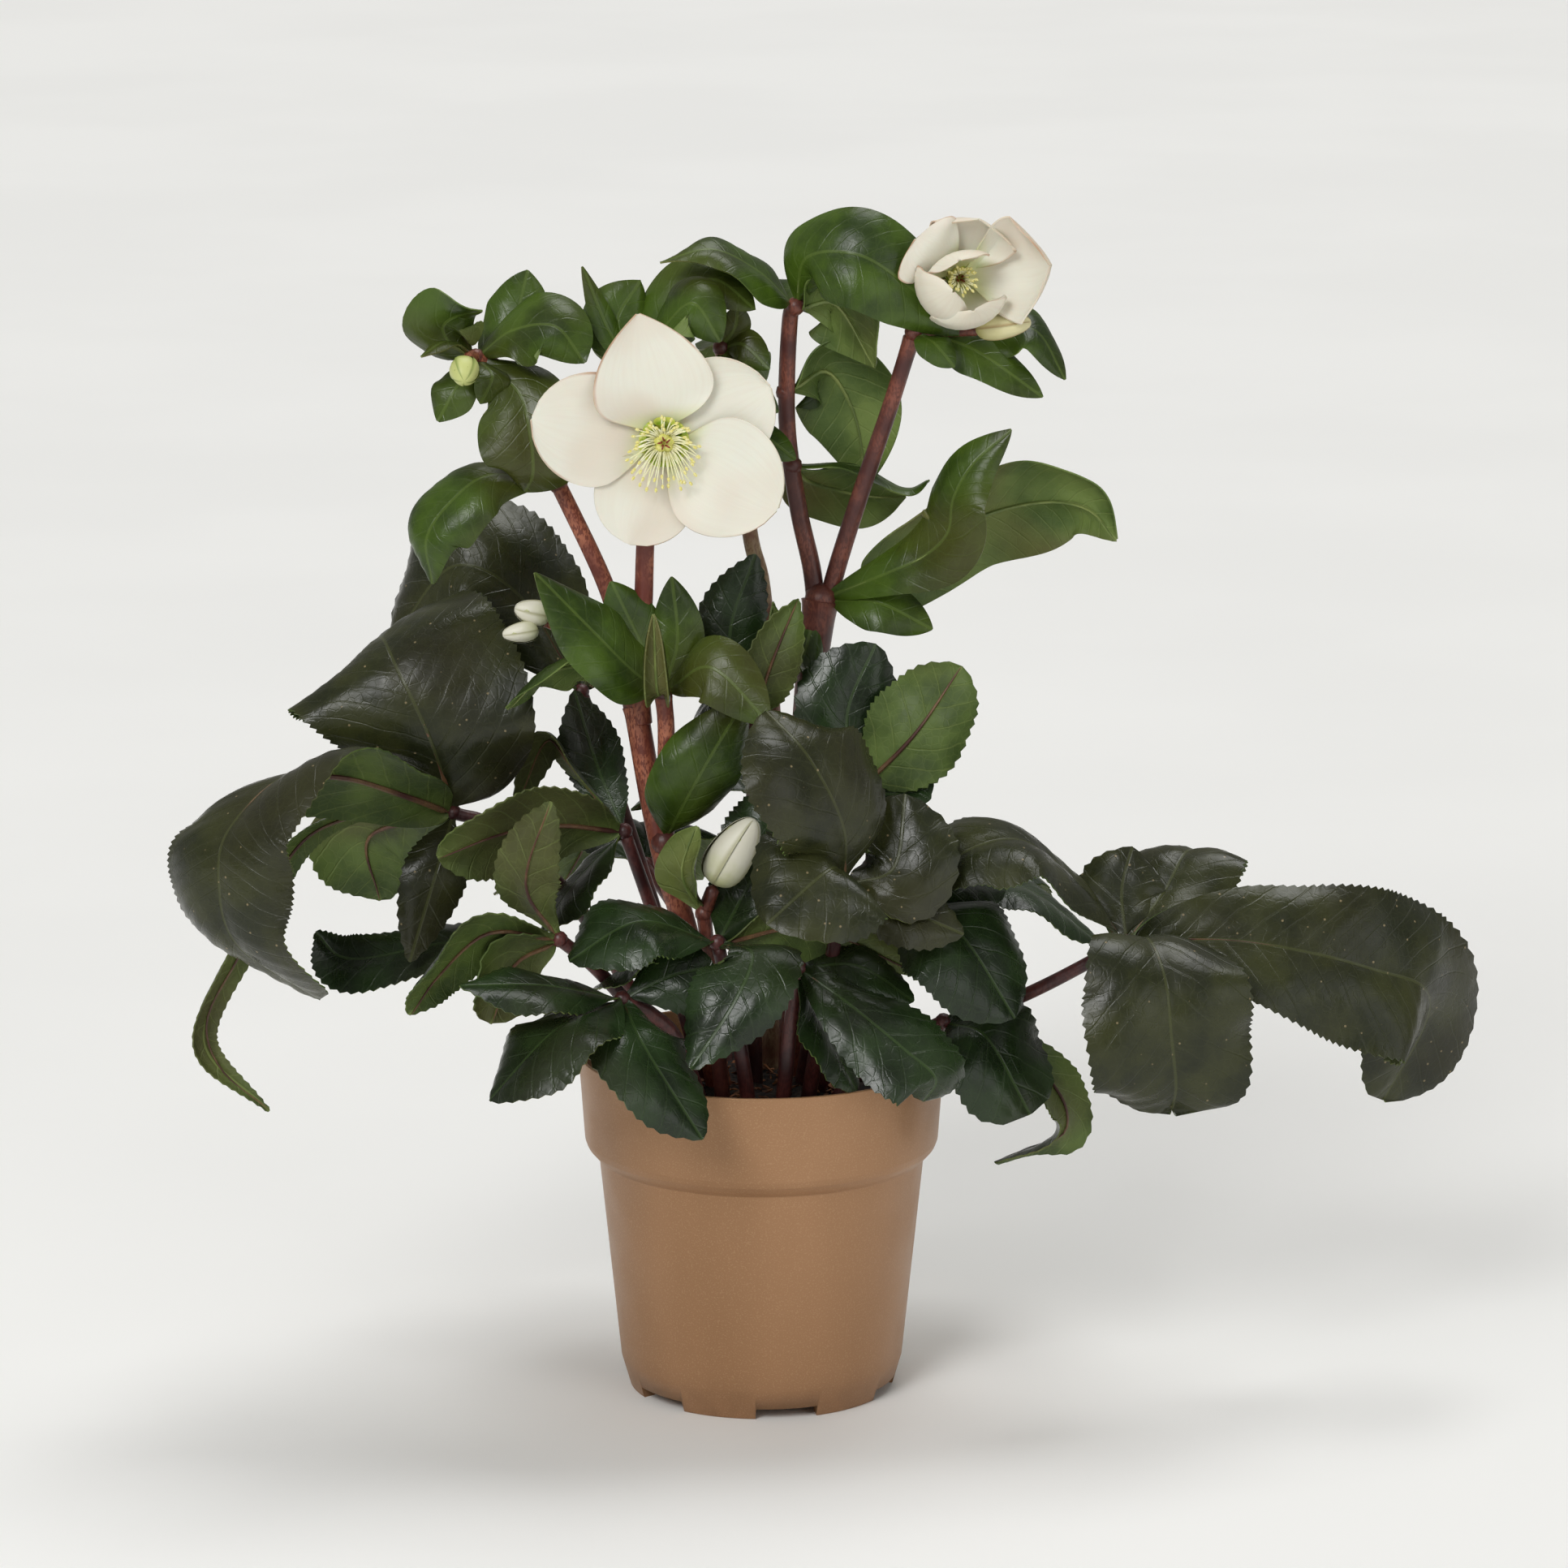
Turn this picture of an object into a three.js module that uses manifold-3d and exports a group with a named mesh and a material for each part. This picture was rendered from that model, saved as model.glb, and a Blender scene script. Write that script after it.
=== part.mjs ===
// A potted hellebore: leathery basal leaves on dark petioles, branching flower stems with leafy
// bracts, two white flowers, buds, potting compost and a moulded plastic nursery pot.
// Millimetres, +Z up, -Y to the front. The origin is the centre of the pot's underside.
import * as THREE from 'three';
import { mergeVertices } from 'three/addons/utils/BufferGeometryUtils.js';
import Module from 'manifold-3d';

const wasm = await Module();
wasm.setup();
const { Manifold } = wasm;

// ---------------------------------------------------------------- driving dimensions
const POT_HEIGHT = 122;
const POT_RIM_RADIUS = 65;
const POT_BAND_RADIUS = 62.8; // lower end of the rim band
const POT_BAND_BOTTOM = 91;
const POT_BODY_TOP_RADIUS = 57.8;
const POT_BODY_TOP = 84.5;
const POT_BODY_LOW_RADIUS = 50.2;
const POT_BODY_LOW = 11;
const POT_FOOT_RADIUS = 47;
const POT_LIP = { out: 1.9, up: 1.6 }; // the ledge under the rim band
const BAND_EDGE = { out: 0.9, up: 2.4 }; // the band's rounded lower edge
const POT_WALL = 1.4;
const POT_FLOOR = 6; // inside of the base
const POT_RECESS = 4.4; // underside of the base between its centre pad and its foot ring
const POT_PAD_RADIUS = 15;
const FOOT_RING = 6;
const POT_SIDES = 22;
const NOTCHES = 6;
const NOTCH_WIDTH = 22;
const NOTCH_HEIGHT = 4;
const NOTCH_FIRST = -79; // degrees round from +X, just right of the front
const DRAIN_RADIUS = 4;
const DRAIN_CIRCLE = 30;
const DRAIN_SIDES = 6;

const SOIL_TOP = 112;
const SOIL_SIDES = 16;
const SOIL_RINGS = 2;
const SOIL_ROUGHNESS = 1.4;
const SOIL_EDGE_DROP = 2.5;

const GAP = 0.3; // clearance between neighbouring pieces
const BLADE = 0.9; // thickness of leaves and bracts
const STEM_SIDES = 6;
const PETIOLE = { radius: 2.8, tip: 2.2, sides: 5 };
const LEAF_HUB_RADIUS = 3.8;
const SUNK_ROOT = 0.6; // how far out of its hub's centre a blade starts, of the hub's radius
const ROOT = 96; // height inside the compost where every stem starts

const PAINT = {
  pot: { color: '#a9825c', roughness: 0.45, metalness: 0.25 },
  soil: { color: '#2a1a12', roughness: 0.95, metalness: 0 },
  stem: { color: '#7d4a3a', roughness: 0.6, metalness: 0 },
  petiole: { color: '#4a2420', roughness: 0.55, metalness: 0 },
  leaf: { color: '#23382a', roughness: 0.4, metalness: 0 },
  bract: { color: '#3f6a2c', roughness: 0.45, metalness: 0 },
  petal: { color: '#f1ece0', roughness: 0.55, metalness: 0 },
  bud: { color: '#e9e4cc', roughness: 0.55, metalness: 0 },
  stamen: { color: '#e3dc6e', roughness: 0.6, metalness: 0 },
};

// ---------------------------------------------------------------- solids
const radians = THREE.MathUtils.degToRad;
const vec = (p) => new THREE.Vector3(...p);

function solid(geometry) {
  const bare = new THREE.BufferGeometry().setAttribute('position', geometry.getAttribute('position'));
  if (geometry.index) bare.setIndex(geometry.index);
  const merged = mergeVertices(bare, 1e-4);
  return new Manifold(new wasm.Mesh({
    numProp: 3,
    vertProperties: new Float32Array(merged.attributes.position.array),
    triVerts: new Uint32Array(merged.index.array),
  }));
}

function fuse(solids) {
  return Manifold.union(solids);
}

// The largest body of a solid: a scrap that a cut leaves is dropped.
function mainBody(shape) {
  return shape.decompose().reduce((best, body) => (body.volume() > best.volume() ? body : best));
}

function geometryOf(points, triangles) {
  const geometry = new THREE.BufferGeometry();
  const coordinates = points.flatMap((p) => [p.x, p.y, p.z]);
  geometry.setAttribute('position', new THREE.Float32BufferAttribute(coordinates, 3));
  geometry.setIndex(triangles);
  return geometry;
}

function ball(centre, radius, grow = 0, detail = 0) {
  return solid(new THREE.IcosahedronGeometry(radius + grow, detail).translate(...centre));
}

// A closed skin over a stack of rings with the same number of points each.
function skin(rings) {
  const sides = rings[0].length;
  const middle = (ring) => ring.reduce((sum, p) => sum.add(p), new THREE.Vector3()).divideScalar(sides);
  const points = [...rings.flat(), middle(rings[0]), middle(rings.at(-1))];
  const first = points.length - 2;
  const last = points.length - 1;
  const top = (rings.length - 1) * sides;
  const triangles = [];
  for (let k = 0; k < sides; k++) {
    const next = (k + 1) % sides;
    triangles.push(first, next, k, last, top + k, top + next);
    for (let a = 0; a < top; a += sides) {
      const b = a + sides;
      triangles.push(a + k, a + next, b + next, a + k, b + next, b + k);
    }
  }
  return solid(geometryOf(points, triangles));
}

function curveThrough(path) {
  return new THREE.CatmullRomCurve3(path.map(vec), false, 'catmullrom', 0.5);
}

// Two directions square to an axis.
function crossAxes(axis) {
  const helper = Math.abs(axis.z) < 0.9 ? new THREE.Vector3(0, 0, 1) : new THREE.Vector3(1, 0, 0);
  const right = new THREE.Vector3().crossVectors(helper, axis).normalize();
  return [right, new THREE.Vector3().crossVectors(axis, right)];
}

// A tapering stem along a path. `grow` widens and lengthens it into the cutter for its own socket.
function stemTube({ path, radius, tip = radius, sides = STEM_SIDES }, grow = 0) {
  const steps = path.length - 1;
  const curve = curveThrough(path);
  const rings = [];
  let [right] = crossAxes(curve.getTangent(0));
  for (let i = 0; i <= steps; i++) {
    const t = i / steps;
    const axis = curve.getTangent(t);
    const centre = curve.getPoint(t);
    if (i === 0) centre.addScaledVector(axis, -grow);
    if (i === steps) centre.addScaledVector(axis, grow);
    right = right.clone().addScaledVector(axis, -right.dot(axis)).normalize();
    const up = new THREE.Vector3().crossVectors(axis, right);
    const r = THREE.MathUtils.lerp(radius, tip, t) + grow;
    rings.push(Array.from({ length: sides }, (_, k) => {
      const angle = (k / sides) * 2 * Math.PI;
      const spoke = right.clone().multiplyScalar(Math.cos(angle)).addScaledVector(up, Math.sin(angle));
      return centre.clone().addScaledVector(spoke, r);
    }));
  }
  return skin(rings);
}

// ---------------------------------------------------------------- blades
// Half-width along a blade, 0 at both ends and 1 at its widest, as s^rise * (1 - s)^fall.
const OUTLINE = {
  leaflet: { rise: 1.3, fall: 1, root: 1.1, point: 0.4 },
  broad: { rise: 0.9, fall: 0.7, root: 1.1, point: 0.4 },
  draped: { rise: 0.6, fall: 0.4, root: 1.1, point: 0.4 },
  bract: { rise: 1, fall: 0.9, root: 1.4, point: 0.4 },
  clasping: { rise: 0.5, fall: 1.1, root: 1.4, point: 0.4 },
  petal: { rise: 1, fall: 0.62, root: 1.6, point: 0.6 },
  tipped: { rise: 1.15, fall: 1, root: 1.6, point: 0.6 }, // a petal with a drawn-out tip
};
const SMOOTH_EDGED = ['bract', 'clasping', 'petal', 'tipped'];

// `skew` makes the right half of a blade fuller towards its root than the left half.
function outlineAt(outline, s, skew) {
  const rise = outline.rise * (1 + skew);
  const value = (x) => x ** rise * Math.max(0, 1 - x) ** outline.fall;
  return value(s) / value(rise / (rise + outline.fall));
}

// A blade's surface: its rib follows `path`. `heading` is the compass direction that it grows in,
// in degrees from +X, or `level` gives its crosswise direction itself. `roll` turns it about the
// rib, `fold` raises both halves in a V, `cup` bends them down towards the margins and `wave`
// ripples the margins.
function bladeSurface({ path, width, shape, heading, level, roll = 0, fold = 14, cup = 34, wave = 0.04,
  skew = 0 }, grow) {
  const curve = curveThrough(path);
  const outline = OUTLINE[shape];
  const chord = vec(path.at(-1)).sub(vec(path[0]));
  const course = heading === undefined ? Math.atan2(chord.y, chord.x) : radians(heading);
  const flat = level ?? new THREE.Vector3(-Math.sin(course), Math.cos(course), 0);
  const start = radians(fold);
  const bend = radians(fold + cup) || 1e-3;
  return (s, side, across, spread = 1) => {
    const along = curve.getTangent(s);
    const lateral = flat.clone().addScaledVector(along, -flat.dot(along)).normalize();
    lateral.applyAxisAngle(along, radians(roll));
    const up = new THREE.Vector3().crossVectors(along, lateral);
    const stalk = THREE.MathUtils.lerp(outline.root, outline.point, s);
    const half = stalk + (width / 2) * outlineAt(outline, s, skew * side) * spread + grow;
    const end = start - bend * across;
    const out = (half * (Math.sin(start) - Math.sin(end))) / bend;
    const ripple = wave * width * across ** 2 * Math.sin(s * RIPPLES + side * RIPPLE_SHIFT);
    const rise = (half * (Math.cos(end) - Math.cos(start))) / bend + ripple;
    const lean = across === 0 ? 0 : -side * end;
    const normal = up.clone().multiplyScalar(Math.cos(lean)).addScaledVector(lateral, Math.sin(lean));
    const position = curve.getPoint(s).addScaledVector(lateral, side * out).addScaledVector(up, rise);
    if (s === 0 || s === 1) position.addScaledVector(along, grow * (s === 1 ? 1 : -1));
    return { position, normal };
  };
}

const TOOTH = 0.09; // how far a tooth stands out and its notch cuts in, of the half-width
const TOOTH_STEP = 0.3; // how far past a tooth's point its notch lies, of a row
const TINY = 24; // up to this width a blade has two rows
const NARROW = 40; // up to this width it has three rows, and past it four
const WIDE = 60; // past this width it has two strips each side of its rib
const SMALL = 30; // up to this width a leaflet's margin is even
const RIPPLES = 14; // radians of margin ripple over a blade's length
const RIPPLE_SHIFT = 1.3; // radians by which one side's ripple leads the other's

function rowsFor(width) {
  if (width > NARROW) return 4;
  return width > TINY ? 3 : 2;
}

// A closed thin blade in rows from root to tip, with one or two strips each side of the rib. A
// toothed margin has a second point in each row, for the notch behind every tooth. `grow` thickens
// and widens it into the cutter that keeps its neighbours clear.
function blade(leaf, grow = 0) {
  const surface = bladeSurface(leaf, grow);
  const thickness = BLADE + 2 * grow;
  const toothed = leaf.width > SMALL && !SMOOTH_EDGED.includes(leaf.shape);
  const wide = leaf.width > WIDE;
  const rows = leaf.rows ?? rowsFor(leaf.width);
  const steps = toothed ? 2 : 1;
  const points = [];
  const point = (s, side, across, spread) => {
    const { position, normal } = surface(s, side, across, spread);
    points.push(position.clone().addScaledVector(normal, thickness / 2));
    points.push(position.clone().addScaledVector(normal, -thickness / 2));
    return points.length - 2;
  };
  const stations = Array.from({ length: rows + 1 }, (_, i) => i / rows);
  const rib = stations.map((s) => point(s, 1, 0));
  const triangles = [];
  for (const side of [1, -1]) {
    const face = (a, b, c) => {
      const [q, r] = side > 0 ? [b, c] : [c, b];
      triangles.push(a, q, r, a + 1, r + 1, q + 1);
    };
    const wall = (a, b) => {
      const [p, q] = side > 0 ? [a, b] : [b, a];
      triangles.push(p, q, q + 1, p, q + 1, p + 1);
    };
    const inner = wide ? stations.map((s) => point(s, side, 0.5)) : rib;
    const margin = Array.from({ length: rows * steps + 1 }, (_, j) => {
      const row = Math.floor(j / steps);
      const notch = j % steps === 1;
      const bite = notch ? -TOOTH : TOOTH * (row > 1 && row < rows ? 1 : 0);
      return point((row + (notch ? TOOTH_STEP : 0)) / rows, side, 1, 1 + (toothed ? bite : 0));
    });
    for (let i = 0; i < rows; i++) {
      const edge = margin.slice(i * steps, i * steps + steps + 1);
      if (wide) {
        face(rib[i], inner[i + 1], inner[i]);
        face(rib[i], rib[i + 1], inner[i + 1]);
      }
      face(inner[i], edge[1], edge[0]);
      face(inner[i], inner[i + 1], edge[1]);
      if (toothed) face(inner[i + 1], edge[2], edge[1]);
    }
    for (let j = 0; j < margin.length - 1; j++) wall(margin[j], margin[j + 1]);
    const strips = wide ? [rib, inner, margin] : [rib, margin];
    for (let k = 0; k < strips.length - 1; k++) {
      wall(strips[k][0], strips[k + 1][0]);
      wall(strips[k + 1].at(-1), strips[k].at(-1));
    }
  }
  return solid(geometryOf(points, triangles));
}

// ---------------------------------------------------------------- basal leaves
// Each leaf has a petiole, up to the hub where its leaflets meet, and its leaflets, whose paths
// run on from the hub.
const LEAVES = {
  left: {
    petiole: [[-20, -2, ROOT], [-62, -6, 172], [-92, -9, 204], [-108, -10, 211]],
    leaflets: [
      { shape: 'draped', width: 80, heading: 120, roll: -30, fold: 0, cup: 16, skew: 0.4, wave: 0.02,
        path: [[-115, -24, 240], [-127, -18, 265], [-134, 4, 271], [-142, 36, 254]] },
      { shape: 'draped', width: 56, heading: 262, roll: 30, rows: 6,
        path: [[-130, -30, 224], [-160, -56, 236], [-181, -74, 221], [-185, -80, 203], [-179, -78, 180],
          [-152, -68, 158]] },
      { width: 15, heading: 190, roll: 50, fold: 30, cup: 50, rows: 5,
        path: [[-141, -12, 211], [-164, -14, 199], [-182, -14, 165], [-197, -14, 129], [-174, -16, 104]] },
      { shape: 'broad', width: 40, roll: 50, path: [[-139, 18, 196], [-136, 24, 171]] },
      { width: 22, roll: -30, heading: 250, path: [[-113, -26, 195], [-123, -30, 162]] },
    ],
  },
  left_low: {
    petiole: [[-18, -22, ROOT], [-40, -32, 138], [-56, -38, 160], [-70, -45, 174]],
    leaflets: [
      { width: 24, heading: 250, fold: 40, path: [[-81, -52, 196], [-72, -58, 226]] },
      { width: 30, roll: 55, path: [[-94, -62, 181], [-111, -70, 168], [-121, -72, 154]] },
      { shape: 'broad', width: 34, roll: 60, path: [[-86, -50, 166], [-94, -50, 145]] },
      { width: 26, roll: -35, path: [[-107, -20, 167], [-144, -14, 159], [-157, -12, 168]] },
    ],
  },
  front_left: {
    petiole: [[-16, -38, ROOT], [-28, -48, 136], [-38, -55, 150], [-48, -62, 157]],
    leaflets: [
      { shape: 'broad', width: 46, path: [[-70, -84, 152], [-93, -92, 129]] },
      { width: 42, path: [[-40, -84, 146], [-20, -92, 115]] },
      { width: 28, roll: 60, path: [[-30, -60, 165], [-16, -56, 167]] },
      { width: 28, roll: -20, path: [[-75, -78, 166], [-103, -86, 168]] },
    ],
  },
  front: {
    petiole: [[-2, -40, ROOT], [-8, -46, 140], [-15, -50, 174]],
    leaflets: [
      { width: 34, heading: 262, skew: -0.3, path: [[-3, -66, 174], [-9, -78, 160], [-24, -84, 138]] },
      { width: 30, roll: -65, path: [[18, -44, 178], [54, -36, 160]] },
      { shape: 'broad', width: 38, roll: -20, path: [[-42, -60, 184], [-66, -68, 172]] },
      { shape: 'broad', width: 34, path: [[-36, -42, 170], [-58, -34, 153]] },
      { shape: 'broad', width: 34, heading: 90, path: [[-4, -28, 190], [6, -20, 208], [12, -14, 222]] },
    ],
  },
  front_high: {
    petiole: [[14, -28, ROOT], [24, -46, 164], [29, -62, 197]],
    leaflets: [
      { shape: 'broad', width: 54, heading: 150, roll: -20,
        path: [[28, -76, 222], [16, -80, 247], [2, -68, 260]] },
      { shape: 'broad', width: 52, roll: -30, path: [[24, -82, 208], [2, -96, 192]] },
      { shape: 'broad', width: 42, heading: 60, roll: 20, path: [[46, -58, 203], [50, -46, 226]] },
      { width: 26, roll: 50, path: [[48, -64, 190], [70, -62, 180]] },
    ],
  },
  right_low: {
    petiole: [[16, -20, ROOT], [38, -22, 124], [52, -23, 133], [64, -24, 139]],
    leaflets: [
      { shape: 'draped', width: 42, roll: 30, wave: 0.06, path: [[79, -36, 136], [94, -42, 110]] },
      { shape: 'broad', width: 32, heading: 300, roll: 150,
        path: [[86, -14, 128], [103, -18, 113], [106, -22, 98], [82, -28, 89]] },
    ],
  },
  right_mid: {
    petiole: [[14, -14, ROOT], [34, -26, 150], [46, -30, 181]],
    leaflets: [
      { shape: 'broad', width: 50, roll: 20, path: [[68, -50, 178], [88, -58, 149]] },
      { width: 36, roll: 30, path: [[64, -22, 190], [86, -14, 184]] },
    ],
  },
  right: {
    petiole: [[26, -4, ROOT], [46, -4, 124], [92, -12, 145], [128, -22, 167]],
    leaflets: [
      { shape: 'broad', width: 46, roll: -15,
        path: [[111, -30, 190], [91, -36, 207], [71, -44, 205], [60, -48, 193]] },
      { width: 30, heading: 90, path: [[127, -6, 182], [131, 2, 196]] },
      { shape: 'draped', width: 60, heading: 285, cup: 20, wave: 0.06, rows: 4,
        path: [[135, -42, 173], [140, -58, 162], [142, -62, 143], [144, -58, 125], [143, -50, 114]] },
      { shape: 'draped', width: 58, roll: 66, cup: 20, wave: 0.07, rows: 5,
        path: [[164, -22, 168], [194, -22, 163], [216, -18, 156], [234, -8, 147], [236, 6, 130],
          [222, 10, 101]] },
      { shape: 'broad', width: 44, heading: 70, path: [[142, -4, 181], [152, 14, 192], [164, 40, 178]] },
    ],
  },
  front_right: {
    petiole: [[6, -42, ROOT], [10, -50, 142], [13, -54, 166]],
    leaflets: [
      { shape: 'broad', width: 36, roll: 30,
        path: [[30, -68, 157], [49, -76, 143], [60, -78, 133], [56, -76, 124]] },
      { shape: 'broad', width: 28, roll: 20, path: [[22, -52, 145], [33, -54, 122]] },
      { width: 20, roll: 40, path: [[34, -52, 166], [53, -54, 154]] },
    ],
  },
  left_mid: {
    petiole: [[-16, 0, ROOT], [-34, -4, 160], [-48, -13, 205]],
    leaflets: [
      { shape: 'broad', width: 42, roll: 60, path: [[-70, -28, 211], [-90, -36, 210], [-112, -44, 203]] },
      { width: 16, roll: 40, path: [[-66, -2, 226], [-76, 4, 234], [-87, 6, 208]] },
      { width: 22, heading: 110, path: [[-58, 8, 224], [-66, 12, 250]] },
      { width: 30, roll: 10, path: [[-66, -24, 188], [-77, -32, 172]] },
    ],
  },
  left_back: {
    petiole: [[-16, 14, ROOT], [-45, 24, 190], [-64, 29, 246]],
    leaflets: [
      { shape: 'broad', width: 62, roll: -55, path: [[-86, 34, 280], [-110, 40, 289], [-132, 48, 260]] },
      { shape: 'broad', width: 46, path: [[-80, 60, 275], [-95, 98, 255]] },
      { shape: 'broad', width: 42, path: [[-50, 60, 270], [-38, 98, 250]] },
    ],
  },
  right_high: {
    petiole: [[12, -4, ROOT], [24, -12, 170], [34, -20, 221]],
    leaflets: [
      { shape: 'broad', width: 36, heading: 100, path: [[30, -18, 248], [40, -12, 272]] },
      { shape: 'broad', width: 36, heading: 250, path: [[54, -26, 243], [70, -22, 266]] },
      { width: 18, roll: 40, path: [[48, -28, 222], [60, -26, 227]] },
    ],
  },
  centre: {
    petiole: [[-2, -6, ROOT], [-3, -8, 170], [-3, -6, 242]],
    leaflets: [
      { width: 24, heading: 90, path: [[-11, -2, 272], [-2, 2, 301]] },
      { width: 22, heading: 270, cup: 70, path: [[3, -16, 264], [13, -12, 288]] },
      { width: 26, path: [[-16, -8, 252], [-27, -6, 238]] },
    ],
  },
  back_left: {
    petiole: [[-8, 18, ROOT], [-26, 50, 150], [-42, 74, 172]],
    leaflets: [
      { width: 34, rows: 2, path: [[-70, 82, 182], [-98, 86, 158]] },
      { width: 38, rows: 2, path: [[-58, 100, 182], [-74, 122, 154]] },
      { width: 34, rows: 2, path: [[-34, 104, 180], [-24, 126, 154]] },
    ],
  },
  back: {
    petiole: [[2, 22, ROOT], [2, 52, 166], [2, 76, 196]],
    leaflets: [
      { width: 38, rows: 2, path: [[-22, 92, 206], [-48, 102, 186]] },
      { width: 40, rows: 2, path: [[2, 106, 206], [4, 136, 180]] },
      { width: 36, rows: 2, path: [[28, 90, 204], [52, 98, 184]] },
    ],
  },
  back_right: {
    petiole: [[12, 16, ROOT], [40, 44, 140], [64, 60, 162]],
    leaflets: [
      { width: 34, rows: 2, path: [[62, 86, 170], [56, 114, 148]] },
      { width: 38, rows: 2, path: [[86, 82, 170], [106, 102, 146]] },
      { width: 34, rows: 2, path: [[94, 56, 168], [122, 52, 148]] },
    ],
  },
};

// ---------------------------------------------------------------- flower stems
const STEMS = {
  left: [
    { radius: 4.3, tip: 4.2,
      path: [[-12, -10, ROOT], [-25, -15, 163], [-33, -15, 192], [-38, -14, 215], [-42, -12, 238],
        [-44, -10, 250]] },
    { radius: 3.2, tip: 2.6,
      path: [[-43, -9, 244], [-49, -4, 272], [-55, 0, 292], [-71, 3, 326], [-89, 4, 363], [-99, 0, 371]] },
    { radius: 3.6, tip: 3,
      path: [[-42, -12, 240], [-43, -11, 273], [-41, -15, 286], [-40, -18, 310], [-38, -19, 330]] },
    { radius: 2.8, tip: 2.2, path: [[-38, -18, 324], [-37, -21, 338], [-33.6, -34, 347.6]] },
    { radius: 2.4, tip: 2, path: [[-38, -19, 328], [-41, -6, 350], [-41, 0, 368]] },
    { radius: 3.2, tip: 2.8, path: [[-34, -15, 198], [-33, -22, 240], [-34, -24, 257]] },
    { radius: 1.8, tip: 1.4, path: [[-99, 0, 371], [-101, -10, 373], [-102, -18, 371]] },
    { radius: 2, tip: 1.5, path: [[-44, -10, 248], [-58, -12, 270], [-77, -18.5, 282]] },
  ],
  back: [
    { radius: 3.4, tip: 2.4,
      path: [[2, 10, ROOT], [5, 20, 200], [1, 25, 278], [-4, 26, 304], [-9, 20, 350], [-14, 14, 372]] },
  ],
  right: [
    { radius: 4.2, tip: 6, path: [[10, 2, ROOT], [12, 4, 180], [17, 8, 250], [21, 11, 284]] },
    { radius: 3.4, tip: 2.7,
      path: [[20, 11, 270], [18, 14, 292], [13, 16, 315], [9, 16, 346], [10, 14, 381], [12, 12, 387]] },
    { radius: 3.4, tip: 2.7,
      path: [[21, 11, 270], [26, 12, 292], [35, 8, 322], [45, 4, 353], [53, 0, 380]] },
    { radius: 2.1, tip: 2, path: [[53, 0, 380], [61, 12, 384], [68, 6, 397]] },
    { radius: 1.8, tip: 1.6, path: [[53, 0, 380], [64, 5, 379], [77, 0, 380.5]] },
  ],
  low: [
    { radius: 2.8, tip: 2.4, path: [[-12, -28, ROOT], [-17, -33, 150], [-20, -36, 182]] },
    { radius: 2.3, tip: 2, path: [[-20, -36, 181], [-16, -37.8, 192]] },
  ],
};

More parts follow.
